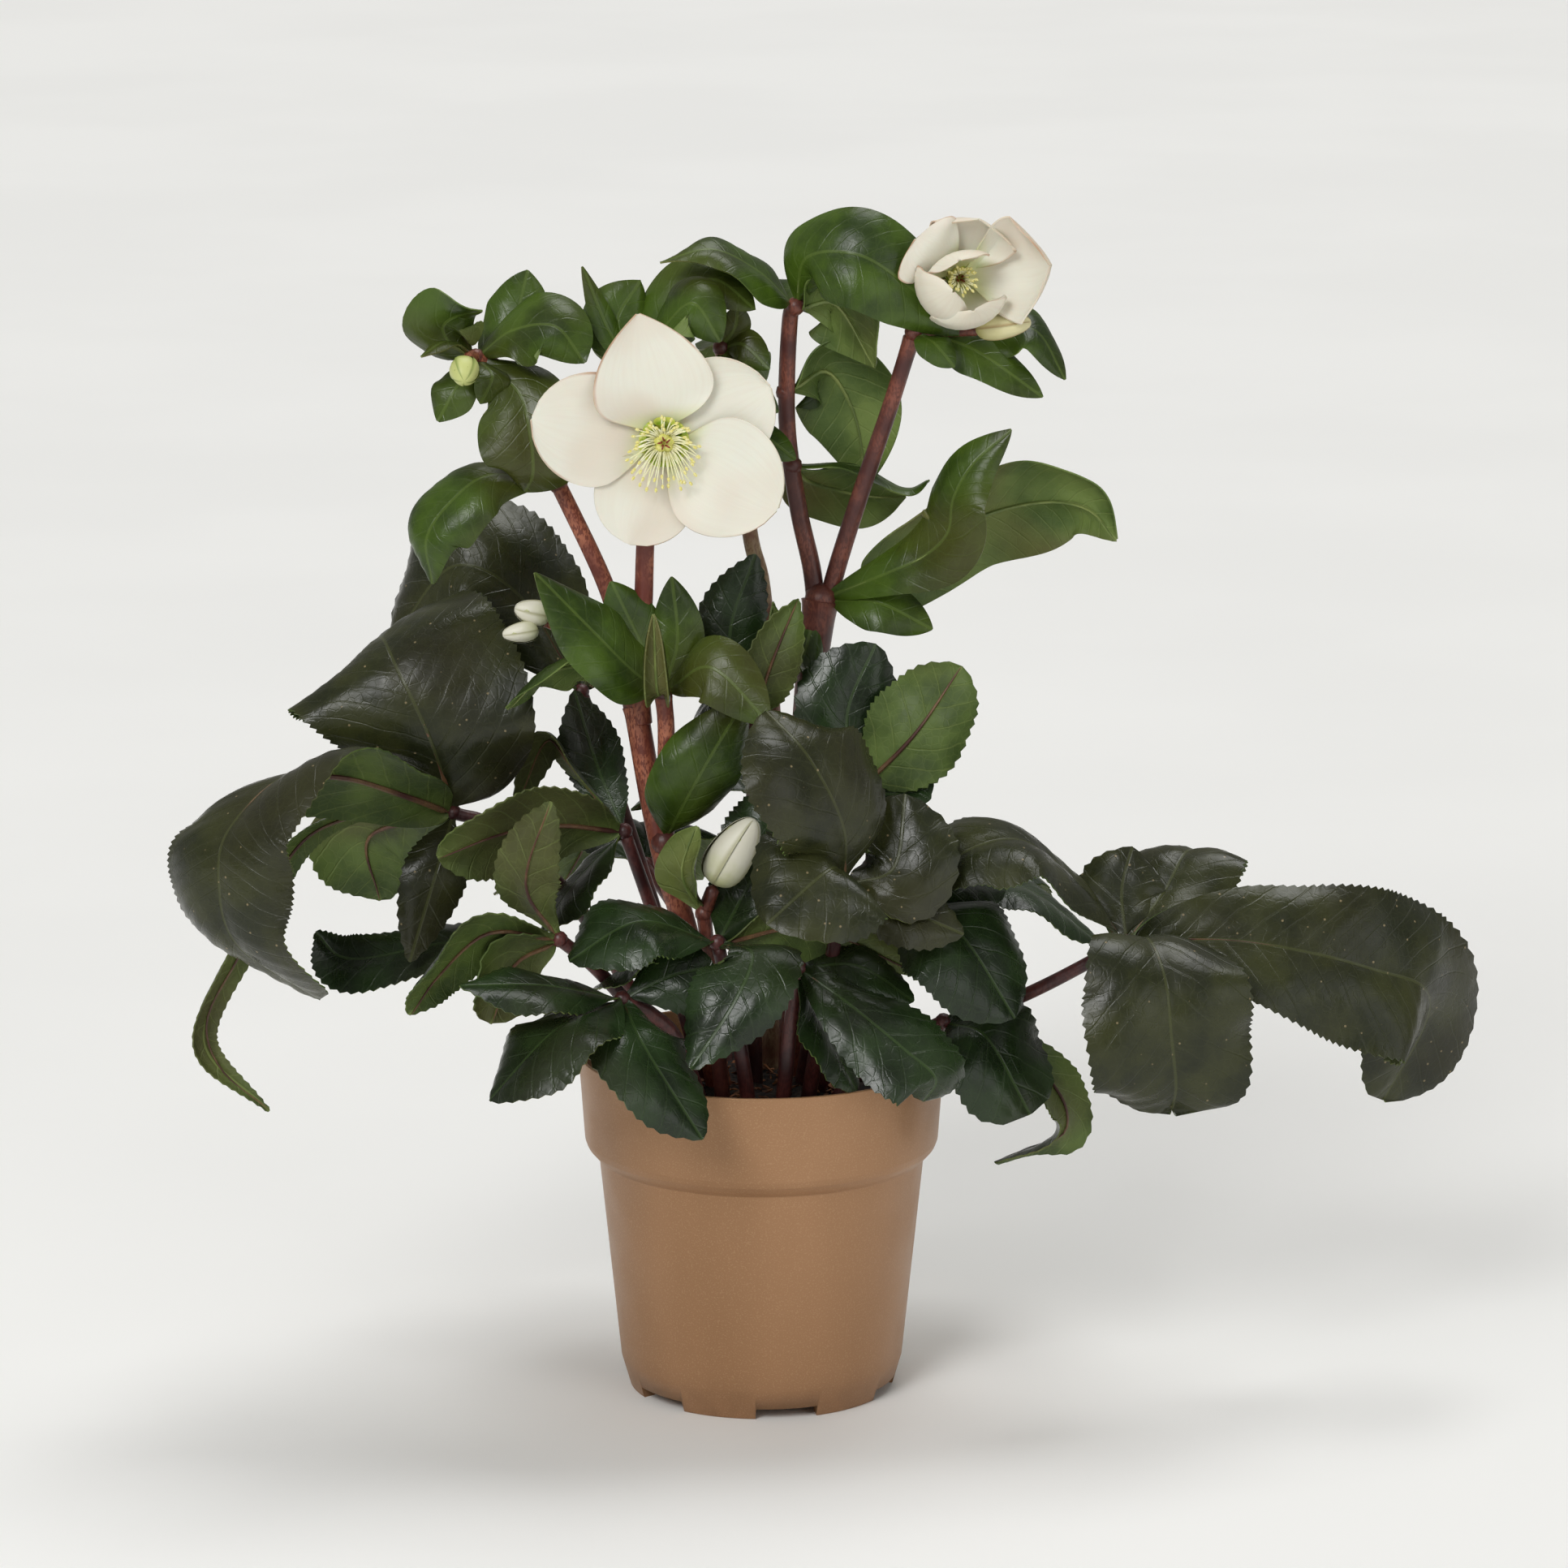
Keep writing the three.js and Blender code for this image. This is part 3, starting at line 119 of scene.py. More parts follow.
# A leaflet's rib runs on from the hub. `heading` is the compass direction that a blade grows in, in
# degrees from +X, `roll` turns it about the rib, `fold` raises both halves in a V, `cup` bends them
# down towards the margins, `wave` ripples the margins, and `skew` puts the left half's widest place
# nearer the tip and the right half's nearer the root.
LEAVES = {
    "left": leaf_on(
        [(-20, -2, ROOT), (-62, -6, 172), (-92, -9, 204), (-108, -10, 211)],
        blade_on(80, (-115, -24, 240), (-127, -18, 265), (-134, 4, 271), (-142, 36, 254),
                 shape="draped", heading=120, roll=-30, fold=0, cup=16, skew=0.4, wave=0.02),
        blade_on(56, (-130, -30, 224), (-160, -56, 236), (-181, -74, 221), (-185, -80, 203),
                 (-179, -78, 180), (-152, -68, 158), shape="draped", heading=262, roll=30),
        blade_on(15, (-141, -12, 211), (-164, -14, 199), (-182, -14, 165), (-197, -14, 129),
                 (-174, -16, 104), heading=190, roll=50, fold=30, cup=50),
        blade_on(40, (-139, 18, 196), (-136, 24, 171), shape="broad", roll=50),
        blade_on(22, (-113, -26, 195), (-123, -30, 162), roll=-30, heading=250),
    ),
    "left_low": leaf_on(
        [(-18, -22, ROOT), (-40, -32, 138), (-56, -38, 160), (-70, -45, 174)],
        blade_on(24, (-81, -52, 196), (-72, -58, 226), heading=250, fold=40),
        blade_on(30, (-94, -62, 181), (-111, -70, 168), (-121, -72, 154), roll=55),
        blade_on(34, (-86, -50, 166), (-94, -50, 145), shape="broad", roll=60),
        blade_on(26, (-107, -20, 167), (-144, -14, 159), (-157, -12, 168), roll=-35),
    ),
    "front_left": leaf_on(
        [(-16, -38, ROOT), (-28, -48, 136), (-38, -55, 150), (-48, -62, 157)],
        blade_on(46, (-70, -84, 152), (-93, -92, 129), shape="broad"),
        blade_on(42, (-40, -84, 146), (-20, -92, 115)),
        blade_on(28, (-30, -60, 165), (-16, -56, 167), roll=60),
        blade_on(28, (-75, -78, 166), (-103, -86, 168), roll=-20),
    ),
    "front": leaf_on(
        [(-2, -40, ROOT), (-8, -46, 140), (-15, -50, 174)],
        blade_on(34, (-3, -66, 174), (-9, -78, 160), (-24, -84, 138), heading=262, skew=-0.3),
        blade_on(30, (18, -44, 178), (54, -36, 160), roll=-65),
        blade_on(38, (-42, -60, 184), (-66, -68, 172), shape="broad", roll=-20),
        blade_on(34, (-36, -42, 170), (-58, -34, 153), shape="broad"),
        blade_on(34, (-4, -28, 190), (6, -20, 208), (12, -14, 222), shape="broad", heading=90),
    ),
    "front_high": leaf_on(
        [(14, -28, ROOT), (24, -46, 164), (29, -62, 197)],
        blade_on(54, (28, -76, 222), (16, -80, 247), (2, -68, 260), shape="broad", heading=150,
                 roll=-20),
        blade_on(52, (24, -82, 208), (2, -96, 192), shape="broad", roll=-30),
        blade_on(42, (46, -58, 203), (50, -46, 226), shape="broad", heading=60, roll=20),
        blade_on(26, (48, -64, 190), (70, -62, 180), roll=50),
    ),
    "right_low": leaf_on(
        [(16, -20, ROOT), (38, -22, 124), (52, -23, 133), (64, -24, 139)],
        blade_on(42, (79, -36, 136), (94, -42, 110), shape="draped", roll=30, wave=0.06),
        blade_on(32, (86, -14, 128), (103, -18, 113), (106, -22, 98), (82, -28, 89), shape="broad",
                 heading=300, roll=150),
    ),
    "right_mid": leaf_on(
        [(14, -14, ROOT), (34, -26, 150), (46, -30, 181)],
        blade_on(50, (68, -50, 178), (88, -58, 149), shape="broad", roll=20),
        blade_on(36, (64, -22, 190), (86, -14, 184), roll=30),
    ),
    "right": leaf_on(
        [(26, -4, ROOT), (46, -4, 124), (92, -12, 145), (128, -22, 167)],
        blade_on(46, (111, -30, 190), (91, -36, 207), (71, -44, 205), (60, -48, 193), shape="broad",
                 roll=-15),
        blade_on(30, (127, -6, 182), (131, 2, 196), heading=90),
        blade_on(60, (135, -42, 173), (140, -58, 162), (142, -62, 143), (144, -58, 125),
                 (143, -50, 114), shape="draped", heading=285, cup=20, wave=0.06),
        blade_on(58, (164, -22, 168), (194, -22, 163), (216, -18, 156), (234, -8, 147),
                 (236, 6, 130), (222, 10, 101), shape="draped", roll=66, cup=20, wave=0.07),
        blade_on(44, (142, -4, 181), (152, 14, 192), (164, 40, 178), shape="broad", heading=70),
    ),
    "front_right": leaf_on(
        [(6, -42, ROOT), (10, -50, 142), (13, -54, 166)],
        blade_on(36, (30, -68, 157), (49, -76, 143), (60, -78, 133), (56, -76, 124), shape="broad",
                 roll=30),
        blade_on(28, (22, -52, 145), (33, -54, 122), shape="broad", roll=20),
        blade_on(20, (34, -52, 166), (53, -54, 154), roll=40),
    ),
    "left_mid": leaf_on(
        [(-16, 0, ROOT), (-34, -4, 160), (-48, -13, 205)],
        blade_on(42, (-70, -28, 211), (-90, -36, 210), (-112, -44, 203), shape="broad", roll=60),
        blade_on(16, (-66, -2, 226), (-76, 4, 234), (-87, 6, 208), roll=40),
        blade_on(22, (-58, 8, 224), (-66, 12, 250), heading=110),
        blade_on(30, (-66, -24, 188), (-77, -32, 172), roll=10),
    ),
    "left_back": leaf_on(
        [(-16, 14, ROOT), (-45, 24, 190), (-64, 29, 246)],
        blade_on(62, (-86, 34, 280), (-110, 40, 289), (-132, 48, 260), shape="broad", roll=-55),
        blade_on(46, (-80, 60, 275), (-95, 98, 255), shape="broad"),
        blade_on(42, (-50, 60, 270), (-38, 98, 250), shape="broad"),
    ),
    "right_high": leaf_on(
        [(12, -4, ROOT), (24, -12, 170), (34, -20, 221)],
        blade_on(36, (30, -18, 248), (40, -12, 272), shape="broad", heading=100),
        blade_on(36, (54, -26, 243), (70, -22, 266), shape="broad", heading=250),
        blade_on(18, (48, -28, 222), (60, -26, 227), roll=40),
    ),
    "centre": leaf_on(
        [(-2, -6, ROOT), (-3, -8, 170), (-3, -6, 242)],
        blade_on(24, (-11, -2, 272), (-2, 2, 301), heading=90),
        blade_on(22, (3, -16, 264), (13, -12, 288), heading=270, cup=70),
        blade_on(26, (-16, -8, 252), (-27, -6, 238)),
    ),
    "back_left": leaf_on(
        [(-8, 18, ROOT), (-26, 50, 150), (-42, 74, 172)],
        blade_on(34, (-70, 82, 182), (-98, 86, 158)),
        blade_on(38, (-58, 100, 182), (-74, 122, 154)),
        blade_on(34, (-34, 104, 180), (-24, 126, 154)),
    ),
    "back": leaf_on(
        [(2, 22, ROOT), (2, 52, 166), (2, 76, 196)],
        blade_on(38, (-22, 92, 206), (-48, 102, 186)),
        blade_on(40, (2, 106, 206), (4, 136, 180)),
        blade_on(36, (28, 90, 204), (52, 98, 184)),
    ),
    "back_right": leaf_on(
        [(12, 16, ROOT), (40, 44, 140), (64, 60, 162)],
        blade_on(34, (62, 86, 170), (56, 114, 148)),
        blade_on(38, (86, 82, 170), (106, 102, 146)),
        blade_on(34, (94, 56, 168), (122, 52, 148)),
    ),
}

STEMS = {
    "left": [
        tube(4.3, 4.2, (-12, -10, ROOT), (-25, -15, 163), (-33, -15, 192), (-38, -14, 215),
             (-42, -12, 238), (-44, -10, 250)),
        tube(3.2, 2.6, (-43, -9, 244), (-49, -4, 272), (-55, 0, 292), (-71, 3, 326), (-89, 4, 363),
             (-99, 0, 371)),
        tube(3.6, 3, (-42, -12, 240), (-43, -11, 273), (-41, -15, 286), (-40, -18, 310),
             (-38, -19, 330)),
        tube(2.8, 2.2, (-38, -18, 324), (-37, -21, 338), (-33.6, -34, 347.6)),
        tube(2.4, 2, (-38, -19, 328), (-41, -6, 350), (-41, 0, 368)),
        tube(3.2, 2.8, (-34, -15, 198), (-33, -22, 240), (-34, -24, 257)),
        tube(1.8, 1.4, (-99, 0, 371), (-101, -10, 373), (-102, -18, 371)),
        tube(2, 1.5, (-44, -10, 248), (-58, -12, 270), (-77, -18.5, 282)),
    ],
    "back": [
        tube(3.4, 2.4, (2, 10, ROOT), (5, 20, 200), (1, 25, 278), (-4, 26, 304), (-9, 20, 350),
             (-14, 14, 372)),
    ],
    "right": [
        tube(4.2, 6, (10, 2, ROOT), (12, 4, 180), (17, 8, 250), (21, 11, 284)),
        tube(3.4, 2.7, (20, 11, 270), (18, 14, 292), (13, 16, 315), (9, 16, 346), (10, 14, 381),
             (12, 12, 387)),
        tube(3.4, 2.7, (21, 11, 270), (26, 12, 292), (35, 8, 322), (45, 4, 353), (53, 0, 380)),
        tube(2.1, 2, (53, 0, 380), (61, 12, 384), (68, 6, 397)),
        tube(1.8, 1.6, (53, 0, 380), (64, 5, 379), (77, 0, 380.5)),
    ],
    "low": [
        tube(2.8, 2.4, (-12, -28, ROOT), (-17, -33, 150), (-20, -36, 182)),
        tube(2.3, 2, (-20, -36, 181), (-16, -37.8, 192)),
    ],
}

WHORLS = {
    "bracts_left_top": {"hub": (-99, 0, 371), "sleeve": 4, "bracts": [
        blade_on(28, (-108, -3, 377), (-110, -7, 383), (-105, -9, 387), (-96, -12, 389), heading=90,
                 fold=20),
        blade_on(30, (-86, -3, 381), (-71, -8, 383), (-61, -12, 371), roll=45),
        blade_on(22, (-86, 8, 384), (-81, 10, 400), heading=80),
        blade_on(16, (-106, -8, 361), (-112, -9, 350), heading=250),
        blade_on(8, (-108, -14, 379), (-117, -22, 375)),
        blade_on(13, (-93, -10, 366), (-97, -14, 357), heading=300),
        blade_on(36, (-84, -8, 360), (-80, -13, 346), (-79, -14, 333), (-82, -8, 325), heading=270,
                 cup=20),
    ]},
    "bract_left_hanging": {"hub": (-71, 3, 326), "sleeve": 4.6, "bracts": [
        blade_on(33, (-94, -8, 331), (-107, -13, 323), (-116, -16, 310), (-114, -16, 294), roll=-30,
                 cup=60),
    ]},
    "bracts_behind_flower": {"hub": (-41, 0, 368), "sleeve": 3.8, "bracts": [
        blade_on(9, (-52, 4, 378), (-62, 6, 402), heading=120),
        blade_on(26, (-33, 8, 388), (-17, 9, 397), (-2, 5, 387), roll=50),
        blade_on(26, (-32, -4, 384), (-23, -8, 391), (-14, -10, 378), roll=50),
        blade_on(24, (-50, 8, 382), (-42, 14, 396), heading=100),
        blade_on(26, (-46, 24, 376), (-54, 42, 362), heading=110),
    ]},
    "bracts_middle": {"hub": (-34, -24, 257), "sleeve": 4.4, "bracts": [
        blade_on(30, (-45, -32, 267), (-58, -35, 281), (-78, -31, 301), roll=-50),
        blade_on(22, (-43, -22, 277), (-52, -22, 296), heading=110),
        blade_on(18, (-29, -21, 275), (-31, -18, 297), heading=90),
        blade_on(16, (-36, -36, 262), (-37, -39, 288), heading=270, cup=120),
        blade_on(15, (-24, -28, 266), (-14, -28, 278), roll=40),
        blade_on(24, (-17, -34, 268), (3, -42, 250), roll=60),
    ]},
    "bract_middle_left": {"hub": (-44, -10, 250), "sleeve": 5.8, "bracts": [
        blade_on(34, (-57, -20, 266), (-75, -28, 265), (-88, -32, 253), roll=30),
    ]},
    "bract_fork": {"hub": (-34, -17, 202), "sleeve": 6, "bracts": [
        blade_on(33, (-28, -26, 216), (-18, -30, 235), (-5, -27, 256), heading=100, cup=60),
    ]},
    "bracts_back": {"hub": (-14, 14, 372), "sleeve": 3.8, "bracts": [
        blade_on(10, (-9, 10, 380), (-8, 8, 388), heading=90),
        blade_on(12, (-6, 8, 374), (3, 4, 366), roll=60),
        blade_on(14, (-8, 2, 362), (6, -2, 352), roll=50),
        blade_on(16, (-10, -2, 352), (2, -6, 344), (12, -6, 336), heading=300),
        blade_on(26, (-10, 38, 370), (-2, 58, 350)),
    ]},
    "bracts_right_top": {"hub": (12, 12, 387), "sleeve": 4.2, "bracts": [
        blade_on(24, (-1, 8, 400), (-17, 5, 408), (-35, 2, 404), shape="clasping", roll=-25),
        blade_on(37, (16, 0, 406), (34, -8, 408), (52, -6, 396), (71, 3, 378), roll=60),
        blade_on(20, (28, 20, 404), (55, 18, 409)),
        blade_on(38, (27, 10, 388), (40, 9, 366), roll=-50),
        blade_on(30, (16, 34, 392), (22, 54, 376)),
    ]},
    "bract_right_upper": {"hub": (8.5, 16, 356), "sleeve": 4.4, "bracts": [
        blade_on(36, (23, 26, 362), (33, 30, 345), (37, 31, 320), roll=-60),
    ]},
    "bract_right_middle": {"hub": (11, 16, 330), "sleeve": 4.4, "bracts": [
        blade_on(28, (18, 27, 322), (36, 30, 317), (51, 27, 317), roll=-60),
        blade_on(12, (32, 22, 329), (50, 20, 321), (59, 16, 325)),
    ]},
    "bracts_far_right": {"hub": (53, 0, 380), "sleeve": 4.2, "bracts": [
        blade_on(19, (74, 5, 373), (98, 0, 357), roll=50),
        blade_on(22, (76, 13, 378), (95, 11, 379), (106, 7, 362), roll=40),
        blade_on(13, (60, -7, 377), (67, -9, 369), heading=290),
    ]},
    "bracts_crotch": {"hub": (21, 11, 283), "sleeve": 7.6, "bracts": [
        blade_on(29, (44, -2, 295), (57, -6, 302), (65, -10, 311), (67, -9, 323), (74, -7, 335),
                 (87, -6, 346.5), roll=60),
        blade_on(44, (38, 18, 285), (57, 22, 298), (76, 24, 310), (96, 26, 315), (114, 24, 314),
                 (125, 18, 303), roll=-60),
        blade_on(20, (41, 0, 284), (60, -2, 275), roll=50),
        blade_on(18, (12, -4, 262), (4, -8, 286), heading=250, cup=100),
    ]},
    "bract_low": {"hub": (-20, -36, 181), "sleeve": 4, "bracts": [
        blade_on(20, (-27, -41, 197), (-22, -44, 214), heading=230, cup=60),
    ]},
}

FLOWERS = {
    "open": {
        "base": (-33.4, -34.5, 347.6), "axis": (0.05, -1, 0.1), "heart": 5, "cup": -14,
        "petals": [
            blade_on(40, (4, 2.4), (18, 6.2), (45, 10), shape="tipped", angle=101),
            blade_on(38, (4, 1.2), (20, 3.2), (46, 7), angle=169),
            blade_on(33, (4, 0.2), (16, 1.4), (37, 5), angle=250),
            blade_on(40, (4, 1.8), (18, 4.6), (45, 8.5), angle=329),
            blade_on(37, (4, 0.8), (18, 2.6), (41, 5.5), angle=27),
        ],
        "stamens": {"count": 64, "reach": 15, "along": (6.5, 10), "droop": 3.5},
        "nectaries": {"count": 12, "out": 8},
    },
    "opening": {
        "base": (68, 5, 398.5), "axis": (0.1, -0.98, 0.1), "heart": 3.6, "cup": -40,
        "petals": [
            blade_on(43, (3, 2), (14, 3), (25, 8), (31, 16), angle=8, cup=-60),
            blade_on(32, (3, 0.5), (11, 2.5), (19, 7), (21, 12), angle=72, cup=-40),
            blade_on(27, (3, 3), (10, 9), (16, 13), (21, 13), angle=138, cup=10),
            blade_on(22, (3, 3), (8, 9), (9, 16), (7, 22), angle=106),
            blade_on(30, (3, 2), (12, 5), (16, 12), (13, 19), (6, 24), angle=222, cup=-55),
            blade_on(30, (3, 1), (12, 3), (17, 9), (16, 17), (11, 22), angle=285, cup=-55),
        ],
        "stamens": {"count": 28, "reach": 6.5, "along": (4, 13), "droop": 0},
        "nectaries": {"count": 0, "out": 0},
    },
}

BUDS = {
    "bud_round": [{"centre": (-102, -22, 369.5), "radius": 5.4, "length": 11, "axis": (0, -0.8, -0.4)}],
    "bud_pair": [
        {"centre": (-79.5, -19, 284.5), "radius": 4.9, "length": 13, "axis": (-1, -0.2, 0.3)},
        {"centre": (-83.5, -22, 278), "radius": 3.9, "length": 13, "axis": (-1, -0.2, -0.1)},
    ],
    "bud_cream": [{"centre": (84, -1, 382.5), "radius": 5.2, "length": 20, "axis": (1, -0.1, 0.12)}],
    "bud_low": [{"centre": (-9.5, -39, 204), "radius": 8.4, "length": 28, "axis": (0.5, -0.1, 0.8)}],
}

OLD_LEAVES = {"left", "right", "left_back", "front_high"}

# ---------------------------------------------------------------- pot, compost and studio sizes
POT_SIDE = [(47, 0), (50.2, 11), (57.8, 84.5), (59.7, 86.1), (61.9, 88.6), (62.8, 91), (65, 122)]
POT_WALL = 1.4
POT_FLOOR = 6
POT_RECESS = 4.4
POT_PAD = 15
FOOT_INNER = 41
POT_ROUNDING = 0.45
POT_STEPS = 144
POT_SHARP = 40
POT_SLOPE = 1  # how far a step under the pot leans
ROUNDING_PARTS = 3
NOTCHES = 6
NOTCH = (22, 4)  # width and height of a notch in the foot ring
NOTCH_REACH = 18  # how far its cutter runs, through the ring's wall
NOTCH_FIRST = -79  # degrees round from +X, just right of the front
DRAIN_RADIUS = 4
DRAIN_CIRCLE = 30  # radius of the ring that the drain holes stand on
DRAIN_SIDES = 28
COMPOST_TOP = 112
COMPOST_RADIUS = 62
COMPOST_RINGS = 44
COMPOST_STEPS = 170
COMPOST_GAP = 0.6  # between the compost and the pot's wall
COMPOST_SAG = 2.5  # how much lower the compost lies by the wall
SAG_POWER = 6  # and how suddenly it sinks there
LEVEL_GAP = 1e-6  # metres within which a point of its turned body counts as on its top
LUMPS = [(14, 1.8), (5, 1.3), (2.2, 0.8)]  # width and height of the lumps on it
BITS = 520  # loose bits of bark on the compost
BITS_SEED = 4
BIT_LENGTH = (1.2, 5.5)
BIT_WIDTH = (0.5, 1.6)
BIT_DEPTH = (0.3, 0.9)
BIT_RISE = 0.3  # how far the middle of a bit is above the compost
BIT_RAGGED = 0.25  # how far its corners are out of true
BIT_TILT = 0.5  # radians out of level
BITS_REACH = 0.97  # of the compost's radius
AIM = (8, 0, 219)
CAMERA_ELEVATION = 12.86
CAMERA_DISTANCE = 2.5  # in metres, from the aim
LENS = 163.04
SENSOR = 36
SUNS = [  # name, where it shines from, how wide it is in degrees, strength
    ("key", (-0.8, -1.7, 1.5), 22, 1.1),
    ("fill", (1.5, -1.6, 0.8), 40, 0.4),
    ("top", (0.3, 0.5, 2.0), 35, 1.3),
]
SOFTBOX = {"place": (-0.55, -1.0, 1.15), "size": 0.7, "power": 3}  # in metres and watts
SURROUNDINGS = 0.28  # how bright the white studio round the plant is
FLOOR_REACH = 40  # metres from the plant to the edge of the card

# ---------------------------------------------------------------- curves
def curve_point(path, t):
    """A point of a smooth curve through the path's points, for t from 0 to 1."""
    last = len(path) - 1
    i = min(int(t * last), last - 1)
    w = t * last - i
    a, b = path[i], path[i + 1]
    before = path[i - 1] if i else 2 * a - b
    after = path[i + 2] if i + 2 <= last else 2 * b - a
    leaving, arriving = (b - before) / 2, (after - a) / 2
    square = 3 * (b - a) - 2 * leaving - arriving
    cube = 2 * (a - b) + leaving + arriving
    return a + leaving * w + square * w**2 + cube * w**3


def curve_tangent(path, t, step=1e-4):
    start, end = max(0, t - step), min(1, t + step)
    return (curve_point(path, end) - curve_point(path, start)).normalized()


def curve_length(path, parts=24):
    points = [curve_point(path, k / parts) for k in range(parts + 1)]
    return sum((b - a).length for a, b in zip(points, points[1:]))


def ramp(value, low, high):
    """0 below low, 1 above high, and smooth between them."""
    t = min(1, max(0, (value - low) / (high - low)))
    return t * t * (3 - 2 * t)


# ---------------------------------------------------------------- meshes
def add_grid(bm, columns, rows, place, finish=0):
    """A grid laid on a surface. `place` takes x from -1 to 1 and y from 0 to 1, and gives a point
    in mm and the pattern's coordinates there. Returns the grid's faces."""
    pattern = bm.loops.layers.uv.verify()
    made = bmesh.ops.create_grid(bm, x_segments=columns, y_segments=rows, size=1)
    spots = {v: place(round(v.co.x, 5), round((v.co.y + 1) / 2, 6)) for v in made["verts"]}
    faces = {face for v in made["verts"] for face in v.link_faces}
    for face in faces:
        face.material_index = finish
        face.smooth = True
        for loop in face.loops:
            loop[pattern].uv = spots[loop.vert][1]
    for v, (point, _) in spots.items():
        v.co = point * MM
    return list(faces)


def weld(bm, faces):
    """Closes seams and poles, where a grid's points lie on each other."""
    verts = list({v for face in faces for v in face.verts})
    bmesh.ops.remove_doubles(bm, verts=verts, dist=SEAM_GAP)


def add_tube(bm, path, radius, tip, sides, step, finish=0, knobs=0.0):
    """A stem along a path, closed at both ends, in rows a `step` apart. `knobs` is how much it
    swells where it joins others, of its radius."""
    path = [Vector(p) for p in path]
    length = curve_length(path)
    rows = max(FEWEST_ROWS, ceil(length / step))
    frames = []
    right = Vector((1, 0, 0) if abs(curve_tangent(path, 0).z) >= UPRIGHT else (0, 0, 1))
    for k in range(rows + 1):
        axis = curve_tangent(path, k / rows)
        right = (right - right.dot(axis) * axis).normalized()
        frames.append((curve_point(path, k / rows), right, axis.cross(right)))

    def place(x, y):
        centre, across, up = frames[round(y * rows)]
        angle = x * pi
        joint = exp(-y * length / KNOB_REACH) + exp(-(1 - y) * length / KNOB_REACH)
        girth = 0 if y in (0, 1) else (radius + (tip - radius) * y) * (1 + knobs * joint)
        point = centre + (across * cos(angle) + up * sin(angle)) * girth
        return point, (angle * radius, y * length)

    faces = add_grid(bm, sides, rows, place, finish)
    weld(bm, faces)


def add_lathe(bm, outline, steps, place=Matrix(), finish=0, rounding=0.0):
    """A shape turned round Z and then put in its place. The outline is radius and height in mm, and
    `rounding` cuts its corners off."""
    old = set(bm.verts)
    line = [bm.verts.new((r * MM, 0, z * MM)) for r, z in outline]
    for pair in zip(line, line[1:]):
        bm.edges.new(pair)
    if rounding:
        bmesh.ops.bevel(bm, geom=line[1:-1], offset=rounding * MM, segments=ROUNDING_PARTS,
                        affect="VERTICES", profile=0.5, material=-1)
    line = [v for v in bm.verts if v not in old]
    line += [edge for edge in bm.edges if edge.verts[0] not in old]
    bmesh.ops.spin(bm, geom=line, cent=(0, 0, 0), axis=(0, 0, 1), angle=tau, steps=steps, use_merge=True)
    bmesh.ops.remove_doubles(bm, verts=[v for v in bm.verts if v not in old], dist=POLE_GAP)
    faces = [face for face in bm.faces if face.verts[0] not in old]
    bmesh.ops.recalc_face_normals(bm, faces=faces)
    for face in faces:
        face.material_index = finish
        face.smooth = True
    bmesh.ops.transform(bm, matrix=place, verts=[v for v in bm.verts if v not in old])


def aimed(axis):
    """The turn that points Z along an axis."""
    return Vector((0, 0, 1)).rotation_difference(Vector(axis))


def add_ball(bm, centre, radii, finish=0, turn=Quaternion(), subdivisions=2):
    """A ball or egg with three radii, turned by a rotation."""
    place = Matrix.Translation(Vector(centre) * MM) @ turn.to_matrix().to_4x4()
    place = place @ Matrix.Diagonal((*(r * MM for r in radii), 1))
    made = bmesh.ops.create_icosphere(bm, subdivisions=subdivisions, radius=1, matrix=place)
    for face in {face for v in made["verts"] for face in v.link_faces}:
        face.material_index = finish
        face.smooth = True


def new_object(name, data):
    """Puts a mesh, a lamp or a lens into the scene."""
    made = bpy.data.objects.new(name, data)
    bpy.context.collection.objects.link(made)
    return made


def new_shape(name, bm, materials=()):
    """Makes an object of a finished bmesh."""
    mesh = bpy.data.meshes.new(name)
    bm.to_mesh(mesh)
    bm.free()
    for material in materials:
        mesh.materials.append(material)
    return new_object(name, mesh)


def add_piece(name, bm, materials, slot, *nodes, sharp=SHARP):
    """Makes a piece of a finished bmesh. It rides on the pot's body and stands for its nodes."""
    piece = new_shape(name, bm, materials)
    piece.data.set_sharp_from_angle(angle=radians(sharp))
    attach(piece, "root")
    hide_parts(*nodes)
    return piece


# ---------------------------------------------------------------- blades
TOP, UNDER, EDGE, STALK, HUB = range(5)  # the finishes of a leaf, in the order of its materials


def outline_at(outline, s, skew):
    """How wide one half of a blade is at s, of its widest, which is nearer the tip the more the
    skew is."""
    rise, fall = outline["rise"] * (1 + skew), outline["fall"]

    def value(x):
        return x**rise * (1 - x) ** fall

    return value(s) / value(rise / (rise + fall))


